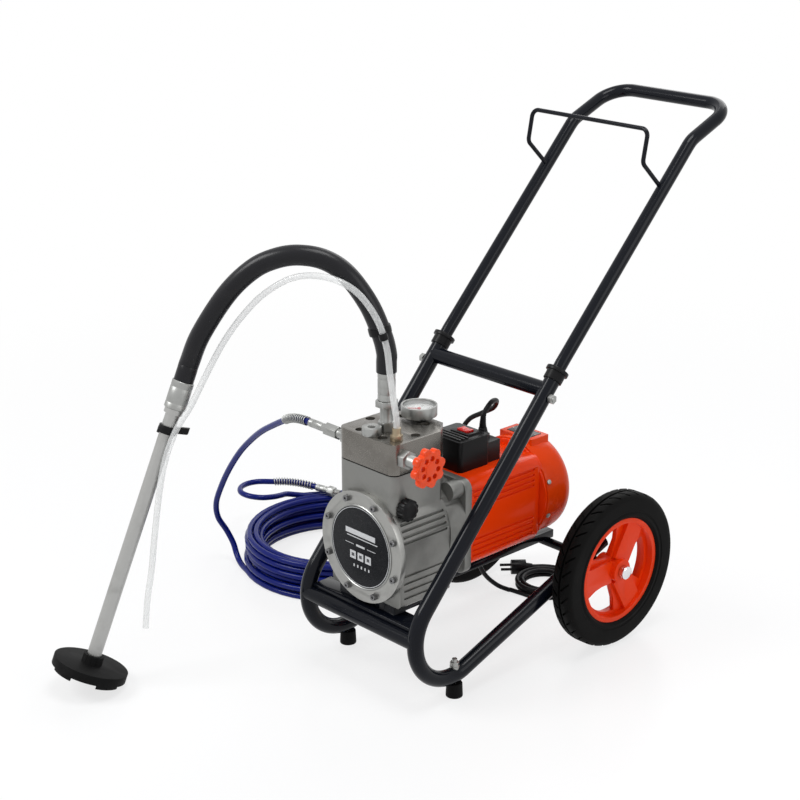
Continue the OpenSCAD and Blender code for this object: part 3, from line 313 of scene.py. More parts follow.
@dataclass(frozen=True)
class Finish:
    """A surface finish.

    Attributes:
        name: material name.
        style: how it is made.
        colour: main colour.
        shade: colour of the darker or dustier parts.
        rough: lowest and highest roughness.
        grain: features a metre of the fine relief.
        depth: depth of the fine relief, in metres.
        coat: weight of the clear coat.
        slot: the record's material slot.
    """

    name: str
    style: Style
    colour: Colour
    shade: Colour
    rough: tuple[float, float]
    grain: float = 900.0
    depth: float = 0.00005
    coat: float = 0.0
    slot: str = ""

    def build(self) -> bpy.types.Material:
        """Makes the material.

        Returns:
            The material with its nodes.
        """
        shader = Shader(self.name)
        cloud = shader.noise(14, 3)
        fine = shader.noise(self.grain, 2)
        low, high = self.rough
        makers: dict[Style, Callable[[Shader, Wire, Wire], None]] = {
            Style.PAINT: self._paint,
            Style.CAST: self._cast,
            Style.MACHINED: self._machined,
            Style.PLATED: self._plated,
            Style.PLASTIC: self._plastic,
            Style.RUBBER: self._rubber,
            Style.CLEAR: self._clear,
        }
        shader.set(Roughness=low + (high - low) * cloud)
        makers[self.style](shader, cloud, fine)
        return shader.material

    def _paint(self, shader: Shader, cloud: Wire, fine: Wire) -> None:
        """Sprayed gloss coat with orange peel, hairline scuffs and dust."""
        low, high = self.rough
        scuff = shader.noise(60, 6, (1, 1, 14)).step(0.66, 0.72)
        dust = shader.noise(9, 4).step(0.5, 0.85)
        shader.set(
            Base_Color=shader.mix(0.12 * scuff + 0.25 * dust, self.colour, self.shade),
            Roughness=low + (high - low) * cloud + 0.12 * scuff + 0.06 * dust,
            Coat_Weight=self.coat,
            Coat_Roughness=0.06,
            Specular_IOR_Level=0.1,
        )
        shader.relief(fine, self.depth, 0.35)

    def _cast(self, shader: Shader, cloud: Wire, fine: Wire) -> None:
        """Sand-cast skin: pitted grain, cloudy tone, a little grime."""
        pits = shader.cells(self.grain)
        stain = shader.noise(22, 5).step(0.45, 0.8)
        low, high = self.rough
        shader.set(
            Base_Color=shader.mix(0.45 * stain + 0.25 * cloud, self.colour, self.shade),
            Metallic=0.75,
            Roughness=low + (high - low) * cloud + 0.1 * stain,
        )
        shader.relief(pits * 0.6 + fine * 0.4, self.depth, 0.7)

    def _machined(self, shader: Shader, cloud: Wire, fine: Wire) -> None:
        """Milled faces: fine straight tool marks and soft stains."""
        marks = shader.noise(120, 3, (0.4, 22, 4))
        stain = shader.noise(30, 4).step(0.5, 0.75)
        low, high = self.rough
        shader.set(
            Base_Color=shader.mix(0.5 * stain + 0.2 * marks, self.colour, self.shade),
            Metallic=0.92,
            Roughness=low + (high - low) * marks + 0.1 * stain,
        )
        shader.relief(marks * 0.7 + fine * 0.3, self.depth, 0.5)

    def _plated(self, shader: Shader, cloud: Wire, fine: Wire) -> None:
        """Bright plating with faint blotches."""
        blotch = shader.noise(45, 4).step(0.45, 0.7)
        low, high = self.rough
        shader.set(
            Base_Color=shader.mix(0.45 * blotch, self.colour, self.shade),
            Metallic=1.0,
            Roughness=low + (high - low) * cloud + 0.06 * blotch,
        )
        shader.relief(fine, self.depth, 0.3)

    def _plastic(self, shader: Shader, cloud: Wire, fine: Wire) -> None:
        """Moulded skin with an even spark-eroded grain."""
        shader.set(
            Base_Color=shader.mix(0.35 * cloud, self.colour, self.shade),
            Coat_Weight=self.coat,
            Coat_Roughness=0.12,
            Specular_IOR_Level=0.13,
        )
        shader.relief(fine, self.depth, 0.5)

    def _rubber(self, shader: Shader, cloud: Wire, fine: Wire) -> None:
        """Matt rubber with a bloom of dust."""
        dust = shader.noise(40, 5).step(0.5, 0.8)
        shader.set(
            Base_Color=shader.mix(0.5 * dust, self.colour, self.shade),
            Specular_IOR_Level=0.07,
            Coat_Weight=self.coat,
            Coat_Roughness=0.25,
        )
        shader.relief(fine, self.depth, 0.5)

    def _clear(self, shader: Shader, cloud: Wire, fine: Wire) -> None:
        """Milky clear tube that shows what is behind it."""
        shader.set(
            Base_Color=shader.mix(0.4 * cloud, self.colour, self.shade),
            Alpha=0.42,
            Specular_IOR_Level=0.8,
            Coat_Weight=0.6,
            Coat_Roughness=0.05,
        )
        shader.material.blend_method = "BLEND"
        shader.relief(fine, self.depth, 0.05)


class Palette:
    """The machine's finishes, each built once."""

    FRAME = Finish("frame_coat", Style.PAINT, (0.0035, 0.0045, 0.008), (0.016, 0.018, 0.024), (0.12, 0.22),
                   700, 0.00004, 0.12, "frame_paint")
    MOTOR = Finish("motor_enamel", Style.PAINT, (0.86, 0.047, 0.002), (0.64, 0.028, 0.0015), (0.16, 0.28),
                   520, 0.00005, 0.07, "motor_paint")
    FAN = Finish("fan_cover_enamel", Style.PAINT, (0.76, 0.052, 0.002), (0.56, 0.032, 0.0015), (0.2, 0.32),
                 420, 0.00007, 0.05, "motor_paint")
    RIM = Finish("rim_plastic", Style.PLASTIC, (0.88, 0.047, 0.0025), (0.72, 0.03, 0.0015), (0.24, 0.36),
                 1400, 0.00003, 0.04, "rim_plastic")
    TYRE = Finish("tyre_rubber", Style.RUBBER, (0.003, 0.0029, 0.0028), (0.009, 0.0085, 0.008), (0.5, 0.7),
                  1500, 0.00006, 0.0, "tyre_rubber")
    CASTING = Finish("pump_casting", Style.CAST, (0.235, 0.235, 0.223), (0.135, 0.135, 0.128), (0.34, 0.48),
                     1100, 0.00016, 0.0, "cast_metal")
    COVER = Finish("cover_casting", Style.MACHINED, (0.36, 0.36, 0.345), (0.24, 0.24, 0.23), (0.26, 0.38),
                   900, 0.00005, 0.0, "cast_metal")
    HEAD = Finish("head_steel", Style.MACHINED, (0.195, 0.184, 0.168), (0.11, 0.1, 0.088), (0.2, 0.34),
                  900, 0.00006, 0.0, "machined_head")
    ZINC = Finish("bright_zinc", Style.PLATED, (0.35, 0.355, 0.345), (0.25, 0.25, 0.24), (0.31, 0.42),
                  1600, 0.00002, 0.0, "zinc")
    SCREW = Finish("dark_screw_steel", Style.PLATED, (0.2, 0.2, 0.205), (0.09, 0.09, 0.09), (0.24, 0.38),
                   1500, 0.00002, 0.0, "dark_steel")
    SHAFT = Finish("ground_steel", Style.PLATED, (0.5, 0.5, 0.5), (0.36, 0.35, 0.33), (0.2, 0.3),
                   1500, 0.00002, 0.0, "shaft_steel")
    CORE = Finish("motor_core", Style.CAST, (0.3, 0.28, 0.25), (0.2, 0.15, 0.1), (0.4, 0.6),
                  900, 0.00008, 0.0, "core_steel")
    CHROME = Finish("polished_nut", Style.PLATED, (0.78, 0.78, 0.8), (0.6, 0.6, 0.62), (0.06, 0.14),
                    1600, 0.00001, 0.0, "chrome_nut")
    BRASS = Finish("brass", Style.PLATED, (0.32, 0.26, 0.18), (0.22, 0.17, 0.11), (0.28, 0.4),
                   1500, 0.00002, 0.0, "brass_fit")
    BLACK = Finish("black_plastic", Style.PLASTIC, (0.005, 0.005, 0.0055), (0.013, 0.013, 0.014), (0.28, 0.44),
                   2200, 0.00004, 0.03, "black_plastic")
    FOOT = Finish("black_rubber", Style.RUBBER, (0.006, 0.006, 0.006), (0.016, 0.016, 0.016), (0.5, 0.7),
                  1600, 0.00005, 0.0, "black_rubber")
    GAUGE = Finish("gauge_steel", Style.PAINT, (0.02, 0.02, 0.021), (0.05, 0.05, 0.05), (0.2, 0.32),
                   900, 0.00003, 0.2, "gauge_black")
    KNOB = Finish("handwheel_plastic", Style.PLASTIC, (0.92, 0.07, 0.005), (0.7, 0.045, 0.004), (0.2, 0.34),
                  1300, 0.00003, 0.3, "orange_plastic")
    RED = Finish("red_plastic", Style.PLASTIC, (0.62, 0.012, 0.008), (0.4, 0.01, 0.006), (0.2, 0.32),
                 1300, 0.00002, 0.3, "red_plastic")
    SUCTION = Finish("suction_hose_rubber", Style.RUBBER, (0.007, 0.007, 0.009), (0.016, 0.016, 0.018),
                     (0.34, 0.46), 1300, 0.00004, 0.35, "hose_black")
    PIPE = Finish("satin_pipe", Style.MACHINED, (0.42, 0.42, 0.41), (0.3, 0.3, 0.29), (0.26, 0.38),
                  900, 0.00003, 0.0, "pipe_satin")
    BLUE = Finish("paint_hose_skin", Style.PLASTIC, (0.0012, 0.008, 0.15), (0.001, 0.005, 0.08), (0.16, 0.28),
                  1300, 0.00003, 0.08, "hose_blue")
    CLEAR = Finish("return_tube_clear", Style.CLEAR, (0.93, 0.94, 0.93), (0.86, 0.87, 0.85), (0.08, 0.16),
                   900, 0.00002, 0.0, "tube_clear")
    LEAD = Finish("mains_lead_skin", Style.RUBBER, (0.005, 0.005, 0.006), (0.014, 0.014, 0.014), (0.36, 0.5),
                  1400, 0.00003, 0.1, "lead_black")

    _made: dict[str, bpy.types.Material] = {}

    @classmethod
    def dress(cls, piece: bpy.types.Object, finish: Finish) -> bpy.types.Object:
        """Gives a piece a finish.

        Args:
            piece: the object.
            finish: its finish.

        Returns:
            The same object.
        """
        if finish.name not in cls._made:
            cls._made[finish.name] = finish.build()
        return cls.wear(piece, cls._made[finish.name], finish.slot)

    @staticmethod
    def wear(piece: bpy.types.Object, material: bpy.types.Material, slot: str) -> bpy.types.Object:
        """Puts one material on a piece.

        Args:
            piece: the object.
            material: the material.
            slot: the record's material slot; not used.

        Returns:
            The same object.
        """
        if not piece.material_slots:
            piece.data.materials.append(material)
        for held in piece.material_slots:
            held.material = material
        return piece


# ---------------------------------------------------------------- workshop


class Bench:
    """Modelling by operators: every piece ends at the origin with its place in its mesh."""

    @staticmethod
    def clear() -> None:
        """Leaves edit mode and deselects everything."""
        if bpy.context.object and bpy.context.object.mode != "OBJECT":
            bpy.ops.object.mode_set(mode="OBJECT")
        bpy.ops.object.select_all(action="DESELECT")

    @classmethod
    def pick(cls, piece: bpy.types.Object) -> None:
        """Selects one piece and makes it active."""
        cls.clear()
        piece.select_set(True)
        bpy.context.view_layer.objects.active = piece

    @staticmethod
    def linked(name: str, data: Any) -> bpy.types.Object:
        """A new object in the scene, made from a mesh, curve, lamp or camera."""
        made = bpy.data.objects.new(name, data)
        bpy.context.scene.collection.objects.link(made)
        return made

    @classmethod
    def settle(cls, piece: bpy.types.Object, name: str) -> bpy.types.Object:
        """Names a piece and applies its place.

        Args:
            piece: the object.
            name: its name.

        Returns:
            The same object.
        """
        piece.name = name
        piece.data.name = name
        cls.pick(piece)
        bpy.ops.object.transform_apply(location=True, rotation=True, scale=True)
        return piece

    @classmethod
    def place(cls, piece: bpy.types.Object, at: Point, along: Point = (0, 0, 1), turn: float = 0.0) -> None:
        """Moves a piece drawn along +Z at the origin to its place.

        Args:
            piece: the object.
            at: where its origin goes.
            along: where its +Z goes.
            turn: degrees about its own axis first.
        """
        aim = Vector(along).to_track_quat("Z", "Y").to_matrix().to_4x4()
        piece.data.transform(Matrix.Translation(at) @ aim @ Matrix.Rotation(math.radians(turn), 4, "Z"))

    @classmethod
    def lathe(cls, name: str, profile: Sequence[tuple[float, float]], steps: int = 64) -> bpy.types.Object:
        """Turns a profile about +Z.

        Args:
            name: piece name.
            profile: points (radius, height) in metres, in order.
            steps: facets round.

        Returns:
            The turned piece.
        """
        cls.clear()
        bpy.ops.mesh.primitive_plane_add(size=0.001, location=(0, 0, 0))
        piece = bpy.context.object
        bpy.ops.object.mode_set(mode="EDIT")
        bpy.ops.mesh.select_all(action="SELECT")
        bpy.ops.mesh.merge(type="CENTER")
        bpy.ops.transform.translate(value=(profile[0][0], 0, profile[0][1]))
        for (r0, z0), (r1, z1) in zip(profile, profile[1:]):
            bpy.ops.mesh.extrude_region_move(TRANSFORM_OT_translate={"value": (r1 - r0, 0, z1 - z0)})
        bpy.ops.mesh.select_all(action="SELECT")
        bpy.ops.mesh.spin(steps=steps, angle=2 * math.pi, center=(0, 0, 0), axis=(0, 0, 1))
        bpy.ops.mesh.select_all(action="SELECT")
        bpy.ops.mesh.remove_doubles(threshold=1e-6)
        bpy.ops.mesh.normals_make_consistent(inside=False)
        bpy.ops.object.mode_set(mode="OBJECT")
        cls.smooth(piece)
        return cls.settle(piece, name)

    @classmethod
    def block(
        cls, name: str, size: Point, at: Point, round_by: float = 0.0, segments: int = 3
    ) -> bpy.types.Object:
        """A block with rounded edges.

        Args:
            name: piece name.
            size: full lengths.
            at: centre.
            round_by: radius of its edges.
            segments: facets of a rounded edge.

        Returns:
            The block.
        """
        cls.clear()
        bpy.ops.mesh.primitive_cube_add(size=1, location=at, scale=size)
        piece = cls.settle(bpy.context.object, name)
        if round_by:
            cls.round(piece, round_by, segments)
        return piece

    @classmethod
    def round(
        cls, piece: bpy.types.Object, width: float, segments: int = 2, angle: float = 35
    ) -> bpy.types.Object:
        """Rounds a piece's sharp edges.

        Args:
            piece: the object.
            width: width of the rounding.
            segments: its facets.
            angle: only edges sharper than this many degrees.

        Returns:
            The same object.
        """
        cls.pick(piece)
        rounding = piece.modifiers.new("rounding", "BEVEL")
        rounding.width = width
        rounding.segments = segments
        rounding.limit_method = "ANGLE"
        rounding.angle_limit = math.radians(angle)
        rounding.use_clamp_overlap = True
        bpy.ops.object.modifier_apply(modifier=rounding.name)
        cls.smooth(piece)
        return piece

    @classmethod
    def smooth(cls, piece: bpy.types.Object, angle: float = 32) -> None:
        """Shades a piece smooth up to an angle in degrees."""
        cls.pick(piece)
        bpy.ops.object.shade_smooth_by_angle(angle=math.radians(angle))

    @classmethod
    def merged(cls, node: str, name: str) -> bpy.types.Object:
        """A closed copy of a CAD node with flat faces joined up.

        Args:
            node: the CAD node.
            name: name of the copy.

        Returns:
            The copy.
        """
        piece = cls.linked(name, NODES[node].data.copy())
        piece.data.name = name
        piece.data.materials.clear()
        cls.pick(piece)
        bpy.ops.object.mode_set(mode="EDIT")
        bpy.ops.mesh.select_all(action="SELECT")
        bpy.ops.mesh.remove_doubles(threshold=2e-6)
        bpy.ops.mesh.dissolve_limited(angle_limit=math.radians(0.6))
        bpy.ops.object.mode_set(mode="OBJECT")
        return piece

    @classmethod
    def copied(cls, piece: bpy.types.Object, name: str, change: Matrix) -> bpy.types.Object:
        """A copy with its own mesh, moved.

        Args:
            piece: the original.
            name: name of the copy.
            change: how its mesh is moved.

        Returns:
            The copy.
        """
        other = cls.linked(name, piece.data.copy())
        other.data.transform(change)
        return other

    @classmethod
    def joined(cls, pieces: Sequence[bpy.types.Object], name: str) -> bpy.types.Object:
        """Joins pieces into one.

        Args:
            pieces: the objects.
            name: name of the result.

        Returns:
            The joined piece.
        """
        cls.pick(pieces[0])
        for piece in pieces:
            piece.select_set(True)
        bpy.ops.object.join()
        return cls.settle(bpy.context.object, name)


def fit(piece: bpy.types.Object, finish: Finish, body: str, *nodes: str) -> bpy.types.Object:
    """Dresses a piece, sets it on its body and lets it stand for CAD nodes.

    Args:
        piece: the object.
        finish: its finish.
        body: the body it rides on.
        nodes: CAD nodes that it replaces.

    Returns:
        The same object.
    """
    Palette.dress(piece, finish)
    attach(piece, body)
    if nodes:
        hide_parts(*nodes)
    LOG.info("piece %s on %s", piece.name, body)
    return piece


def softened(node: str, finish: Finish, body: str, width: float, segments: int = 2) -> bpy.types.Object:
    """Stands a copy with rounded edges in for a CAD node.

    Args:
        node: the CAD node.
        finish: its finish.
        body: the body it rides on.
        width: width of the rounding, in metres.
        segments: facets of the rounding.

    Returns:
        The copy.
    """
    piece = Bench.merged(node, node + "_rounded")
    Bench.round(piece, width, segments)
    return fit(piece, finish, body, node)


# ---------------------------------------------------------------- studio


@dataclass
class Studio:
    """Camera, lamps, floor and world."""

    eye: Point = (1.8411, -1.9926, 1.3366)
    right: Point = (0.6853, 0.7283, 0.0003)
    up: Point = (-0.2531, 0.2378, 0.9377)
    back: Point = (0.6829, -0.6427, 0.3473)
    lens: float = 80.13
    shift: tuple[float, float] = (-0.0029, 0.0386)

    def build_camera(self) -> None:
        """Places the camera."""
        camera = bpy.data.cameras.new("view_camera")
        camera.lens = self.lens
        camera.sensor_width = 36.0
        camera.shift_x, camera.shift_y = self.shift
        camera.clip_end = 60.0
        holder = Bench.linked("view_camera", camera)
        turn = Matrix((self.right, self.up, self.back)).transposed()
        holder.matrix_world = Matrix.Translation(self.eye) @ turn.to_4x4()
        bpy.context.scene.camera = holder

    def build_lights(self) -> None:
        """Hangs soft lamps and sets the world."""
        lamps = [
            ("key_lamp", (-1.6, -2.6, 3.0), 1.6, 74.0),
            ("side_lamp", (3.2, 0.6, 1.9), 2.0, 22.0),
            ("back_lamp", (-1.2, 2.8, 2.4), 2.2, 30.0),
            ("top_lamp", (0.4, -0.2, 3.6), 1.4, 44.0),
        ]
        for name, at, size, power in lamps:
            lamp = bpy.data.lights.new(name, "AREA")
            lamp.size = size
            lamp.energy = power
            holder = Bench.linked(name, lamp)
            aim = (Vector((0, -0.1, 0.3)) - Vector(at)).to_track_quat("-Z", "Y")
            holder.matrix_world = Matrix.Translation(at) @ aim.to_matrix().to_4x4()
        world = bpy.data.worlds.new("studio_world")
        world.use_nodes = True
        graph = Graph(world.node_tree)
        seen = graph.seen()
        plain_light = graph.node(
            "ShaderNodeBackground", {}, {"Color": (0.93, 0.95, 1.0, 1.0), "Strength": 0.36}
        )
        white = graph.node("ShaderNodeBackground", {}, {"Color": (1.0, 1.0, 1.0, 1.0), "Strength": 1.0})
        both = graph.node(
            "ShaderNodeMixShader", {},
            {0: seen, 1: plain_light.outputs[0], 2: white.outputs[0]},
        )
        graph.node("ShaderNodeOutputWorld", {}, {"Surface": both.outputs[0]})
        bpy.context.scene.world = world

    def build_floor(self) -> None:
        """Lays the pale floor."""
        Bench.clear()
        bpy.ops.mesh.primitive_plane_add(size=24, location=(0, 0, 0))
        floor = Bench.settle(bpy.context.object, "studio_floor")
        shader = Shader("floor_white")
        shader.set(Base_Color=(0.9, 0.9, 0.9), Roughness=0.3, Specular_IOR_Level=0.3)
        x, y, _ = shader.axes()
        far = ((x * x + y * y) ** 0.5).step(0.9, 2.2)
        seen = shader.seen()
        glow = shader.node("ShaderNodeEmission", {}, {"Color": (1, 1, 1, 1), "Strength": 1.0})
        both = shader.node(
            "ShaderNodeMixShader", {},
            {0: seen * (0.74 + 0.26 * far), 1: shader.surface.outputs[0], 2: glow.outputs[0]},
        )
        shader.tree.links.new(both.outputs[0], shader.output.inputs["Surface"])
        floor.data.materials.append(shader.material)
        floor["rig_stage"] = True

    def build(self) -> None:
        """Builds the whole studio."""
        bpy.context.scene.view_settings.view_transform = "Standard"
        self.build_camera()
        self.build_lights()
        self.build_floor()


# ---------------------------------------------------------------- cords


def unit(vector: Vector) -> Vector:
    """A vector of length 1."""
    return vector.normalized()


def eased(points: Sequence[Point], steps: int) -> list[Vector]:
    """A smooth line through points.

    Args:
        points: the points.
        steps: points made to a stretch.

    Returns:
        The line's points, the last one among them.
    """
    line = [Vector(p) for p in points]
    made: list[Vector] = []
    last = len(line) - 1
    for i in range(last):
        a, b, c, d = line[max(i - 1, 0)], line[i], line[i + 1], line[min(i + 2, last)]
        for k in range(steps):
            t = k / steps
            made.append(
                0.5
                * (
                    2 * b
                    + (c - a) * t
                    + (2 * a - 5 * b + 4 * c - d) * t**2
                    + (3 * b - a - 3 * c + d) * t**3
                )
            )
    return made + [line[-1]]


def bent(ends: Sequence[Point], t: float) -> Vector:
    """A point of the bend given by three points, t from 0 to 1."""
    a, b, c = (Vector(p) for p in ends)
    return a * (1 - t) ** 2 + b * 2 * t * (1 - t) + c * t**2


@dataclass
class Coil:
    """A flat coil wound inward and outward in layers, in millimetres.

    Attributes:
        centre: its centre on the floor.
        radius: radius of the first turn.
        base: height of the first turn's line.
        start: angle of its start, in degrees.
        pitch: distance between turns of a layer.
        rise: distance between layers.
        turns: turns in a layer.
        layers: number of layers.
        lead: straight length at each end.
    """

    centre: tuple[float, float]
    radius: float
    base: float
    start: float
    pitch: float
    rise: float
    turns: float
    layers: int
    lead: float

    def point(self, s: float) -> Vector:
        """The point s turns along."""
        q = s % (2 * self.turns)
        radius = self.radius - self.pitch * (q if q < self.turns else 2 * self.turns - q)
        angle = math.radians(self.start + 360 * s)
        j = math.floor(s / self.turns + 0.5)
        share = min(1, max(0, (s - j * self.turns) / 0.5 + 0.5))
        climb = min(self.layers - 1, j - 1 + (1 if j < 1 else share))
        return Vector(
            (
                self.centre[0] + radius * math.cos(angle),
                self.centre[1] + radius * math.sin(angle),
                self.base + self.rise * climb,
            )
        )

    def line(self, steps: int = 48) -> list[Vector]:
        """The coil's line with its leads.

        Args:
            steps: points a turn, a multiple of 24.

        Returns:
            Its points.
        """
        total = self.turns * self.layers
        count = math.ceil(24 * total) * steps // 24
        made = [self.point(min(i / steps, total - 0.0001)) for i in range(count + 1)]
        first = self.point(1 / 24) - made[0]
        last = made[-1] - self.point(total - 0.0417)
        first.z = last.z = 0
        return [made[0] - unit(first) * self.lead, *made, made[-1] + unit(last) * self.lead]


@dataclass
class Lines:
    """The hoses, the return tube and the mains lead."""

    OUTLET: Point = (-158, -308, 384)
    OUTLET_BEND: tuple[Point, ...] = ((-164, -308, 384), (-200, -308, 384), (-232, -297, 366))
    GUN_BEND: tuple[Point, ...] = ((-594, -32, 80), (-570, -5.3, 82.3), (-526, 8, 79.5))
    GUN_WAY: Point = (0.955, 0.29, -0.06)

    def curve(self, name: str, line: Sequence[Vector], wide: float, facets: int = 6,
              taper: Sequence[float] = ()) -> bpy.types.Object:
        """A round tube along a line.

        Args:
            name: piece name.
            line: its points, in millimetres.
            wide: diameter, in millimetres.
            facets: facets of a quarter round.
            taper: radius factors of the points, where it isn't even.

        Returns:
            The curve object.
        """
        data = bpy.data.curves.new(name, "CURVE")
        data.dimensions = "3D"
        data.bevel_depth = wide / 2 * MM
        data.bevel_resolution = facets
        data.use_fill_caps = True
        spline = data.splines.new("POLY")
        spline.points.add(len(line) - 1)
        for i, point in enumerate(line):
            spline.points[i].co = (*(Vector(point) * MM), 1.0)
            spline.points[i].radius = taper[i] if taper else 1.0
        spline.use_smooth = True
        return Bench.linked(name, data)

    @staticmethod
    def length(line: Sequence[Vector]) -> float:
        """Length of a line, in metres."""
        return sum((b - a).length for a, b in zip(line, line[1:])) * MM

    def gun_end(self) -> Vector:
        """Where the hose enters the ferrule for the gun, in millimetres."""
        return Vector(self.GUN_BEND[2]) + 6 * unit(Vector(self.GUN_WAY))

    def paint_line(self) -> list[Vector]:
        """The paint hose's line, from the outlet to the gun's end."""
        coil = Coil((-370, -64), 172, 5.3, -115, 12, 11.5, 2.625, 6, 10.5).line()
        into = coil[1] - coil[0]
        out = coil[-1] - coil[-2]
        into.z = out.z = 0
        into, out = unit(into), unit(out)
        run = [
            self.OUTLET,
            *(bent(self.OUTLET_BEND, t / 4) for t in range(5)),
            (-272, -287, 345), (-321, -276, 317), (-367, -264, 285), (-407, -256, 251),
            (-449, -247, 207), (-484, -239, 163), (-511, -232, 120), (-521, -222, 86),
            (-517, -207, 57), (-507, -201, 34), (-494, -204, 17.2), (-479.7, -208.6, 8.4),
            *(coil[0] - into * 11 * k for k in (1, 0)),
        ]
        end = [
            coil[-1], coil[-1] + out * 11, coil[-1] + out * 24 + Vector((0, 0, 2)),
            (-550.5, -38, 69.5), (-547, -57, 73), (-545.5, -76, 76), (-552.3, -97.3, 78.5),
            (-571.3, -111.1, 80), (-594.7, -111.1, 80), (-613.7, -97.3, 80), (-621, -76, 80),
            (-615, -54, 80),
            *(bent(self.GUN_BEND, t / 4) for t in range(5)),
            self.gun_end(),
        ]
        return eased(run, 8)[:-1] + coil[:-1] + eased(end, 8)

    def build_paint_hose(self) -> None:
        """The paint hose with its spring guards and end fittings."""
        line = self.paint_line()
        hose = self.curve("paint_hose", line, 10.5)
        fit(hose, Palette.BLUE, "chassis", "paint_hose_run", "paint_hose_coil", "paint_hose_end")
        springs = [
            self.spring("outlet_spring", self.OUTLET_BEND),
            self.spring("gun_spring", self.GUN_BEND),
        ]
        for spring in springs:
            fit(spring, Palette.ZINC, "chassis", "hose_springs")
        start = self.ferrule("paint_ferrule", 13.4, 40, 5.25)
        Bench.place(start, (-0.158, -0.308, 0.384), (1, 0, 0))
        end = Bench.joined(
            [
                self.ferrule("gun_ferrule", 13.4, 27, 5.25),
                self.hexagon("gun_nut", 17, 14, 26),
                self.thread("gun_thread", 13.1, 12, 39),
            ],
            "gun_fitting",
        )
        Bench.place(end, tuple(self.gun_end() * MM), self.GUN_WAY)
        for piece in (start, end):
            fit(piece, Palette.ZINC, "chassis", "hose_ferrules")
        line[0] * MM

    def spring(self, name: str, bend: Sequence[Point]) -> bpy.types.Object:
        """A spring guard round a bend.

        Args:
            name: piece name.
            bend: the bend's three points, in millimetres.

        Returns:
            The wound wire.
        """
        turns, steps, radius = 15, 20, 6.65
        line = []
        for i in range(turns * steps + 1):
            t = i / (turns * steps)
            first, last = Vector(bend[1]) - Vector(bend[0]), Vector(bend[2]) - Vector(bend[1])
            way = unit(first * (1 - t) + last * t)
            side = unit(Vector((0, 0, 1)) - way * way.z)
            angle = 2 * math.pi * i / steps
            round_wire = math.cos(angle) * side + math.sin(angle) * way.cross(side)
            line.append(bent(bend, t) + radius * round_wire)
        return self.curve(name, line, 2.0, 2)

    def ferrule(self, name: str, wide: float, long: float, bore: float) -> bpy.types.Object:
        """A crimped ferrule along +Z, with two shallow pressed rings.

        Args:
            name: piece name.
            wide: outside diameter, in millimetres.
            long: length, in millimetres.
            bore: radius of the hose in it, in millimetres.

        Returns:
            The ferrule.
        """
        r = wide / 2
        rings = [(bore * 0.6, 0.0), (r - 0.8, 0.0), (r, 0.8)]
        for at in (0.22 * long, 0.78 * long):
            rings += [(r, at - 1.6), (r - 0.35, at - 1.0), (r - 0.35, at + 1.0), (r, at + 1.6)]
        rings += [(r, long - 0.8), (r - 0.8, long), (bore * 0.6, long)]
        return Bench.lathe(name, [(a * MM, z * MM) for a, z in rings], 48)

    def hexagon(self, name: str, flats: float, high: float, at: float) -> bpy.types.Object:
        """A hexagon nut with chamfered corners along +Z.

        Args:
            name: piece name.
            flats: width across flats, in millimetres.
            high: height, in millimetres.
            at: height of its foot, in millimetres.

        Returns:
            The nut.
        """
        Bench.clear()
        bpy.ops.mesh.primitive_cylinder_add(
            vertices=6, radius=flats / 2 / math.cos(math.pi / 6) * MM, depth=high * MM,
            location=(0, 0, (at + high / 2) * MM), rotation=(0, 0, math.radians(30)),
        )
        piece = Bench.settle(bpy.context.object, name)
        return Bench.round(piece, 0.0008, 2)

    def thread(self, name: str, wide: float, long: float, at: float) -> bpy.types.Object:
        """A threaded end along +Z, cut as close rings.

        Args:
            name: piece name.
            wide: outside diameter, in millimetres.
            long: length, in millimetres.
            at: height of its foot, in millimetres.

        Returns:
            The threaded end.
        """
        r, pitch = wide / 2, 1.5
        rings = [(r * 0.55, at), (r - 0.8, at)]
        for k in range(int(long / pitch)):
            z = at + pitch * k
            rings += [(r - 0.8, z + 0.1), (r, z + pitch * 0.45), (r, z + pitch * 0.6)]
        rings += [(r - 0.9, at + long), (r * 0.55, at + long)]
        return Bench.lathe(name, [(a * MM, z * MM) for a, z in rings], 40)

    def build_mains_lead(self) -> None:
        """The mains lead with its strain relief and plug."""
        route = [
            (8, -93, 366), (8, -93, 376), (8, -90, 390), (4, -70, 402), (-6, -48, 396),
            (-22, -38, 378), (-48, -38, 362), (-78, -38, 342), (-98, -38, 308),
            (-103, -36, 262), (-102, -34, 215), (-98, -30, 168), (-92, -20, 118),
            (-90, 0, 74), (-92, 24, 38), (-88, 48, 14), (-76, 62, 5),
        ]
        coil = Coil((-46, 126), 56, 4.05, -90, 9.2, 9, 2.33, 2, 8).line()
        into = coil[1] - coil[0]
        into.z = 0
        route += [coil[0] - unit(into) * 9 * k for k in (2, 1, 0)]
        line = eased(route, 8)[:-1] + coil
        lead = self.curve("mains_lead", line, 8.0, 5)
        fit(lead, Palette.LEAD, "chassis", "mains_run", "mains_coil")
        relief = self.curve(
            "lead_strain_relief", line[:16], 12.4, 5,
            [1.0 - 0.3 * (k / 15) - (0.05 if k % 2 else 0.0) for k in range(16)],
        )
        fit(relief, Palette.LEAD, "chassis")
        plug = Bench.merged("mains_plug", "mains_plug_rounded")
        Bench.round(plug, 0.0011, 3)
        fit(plug, Palette.LEAD, "chassis", "mains_plug")
        line[0] * MM

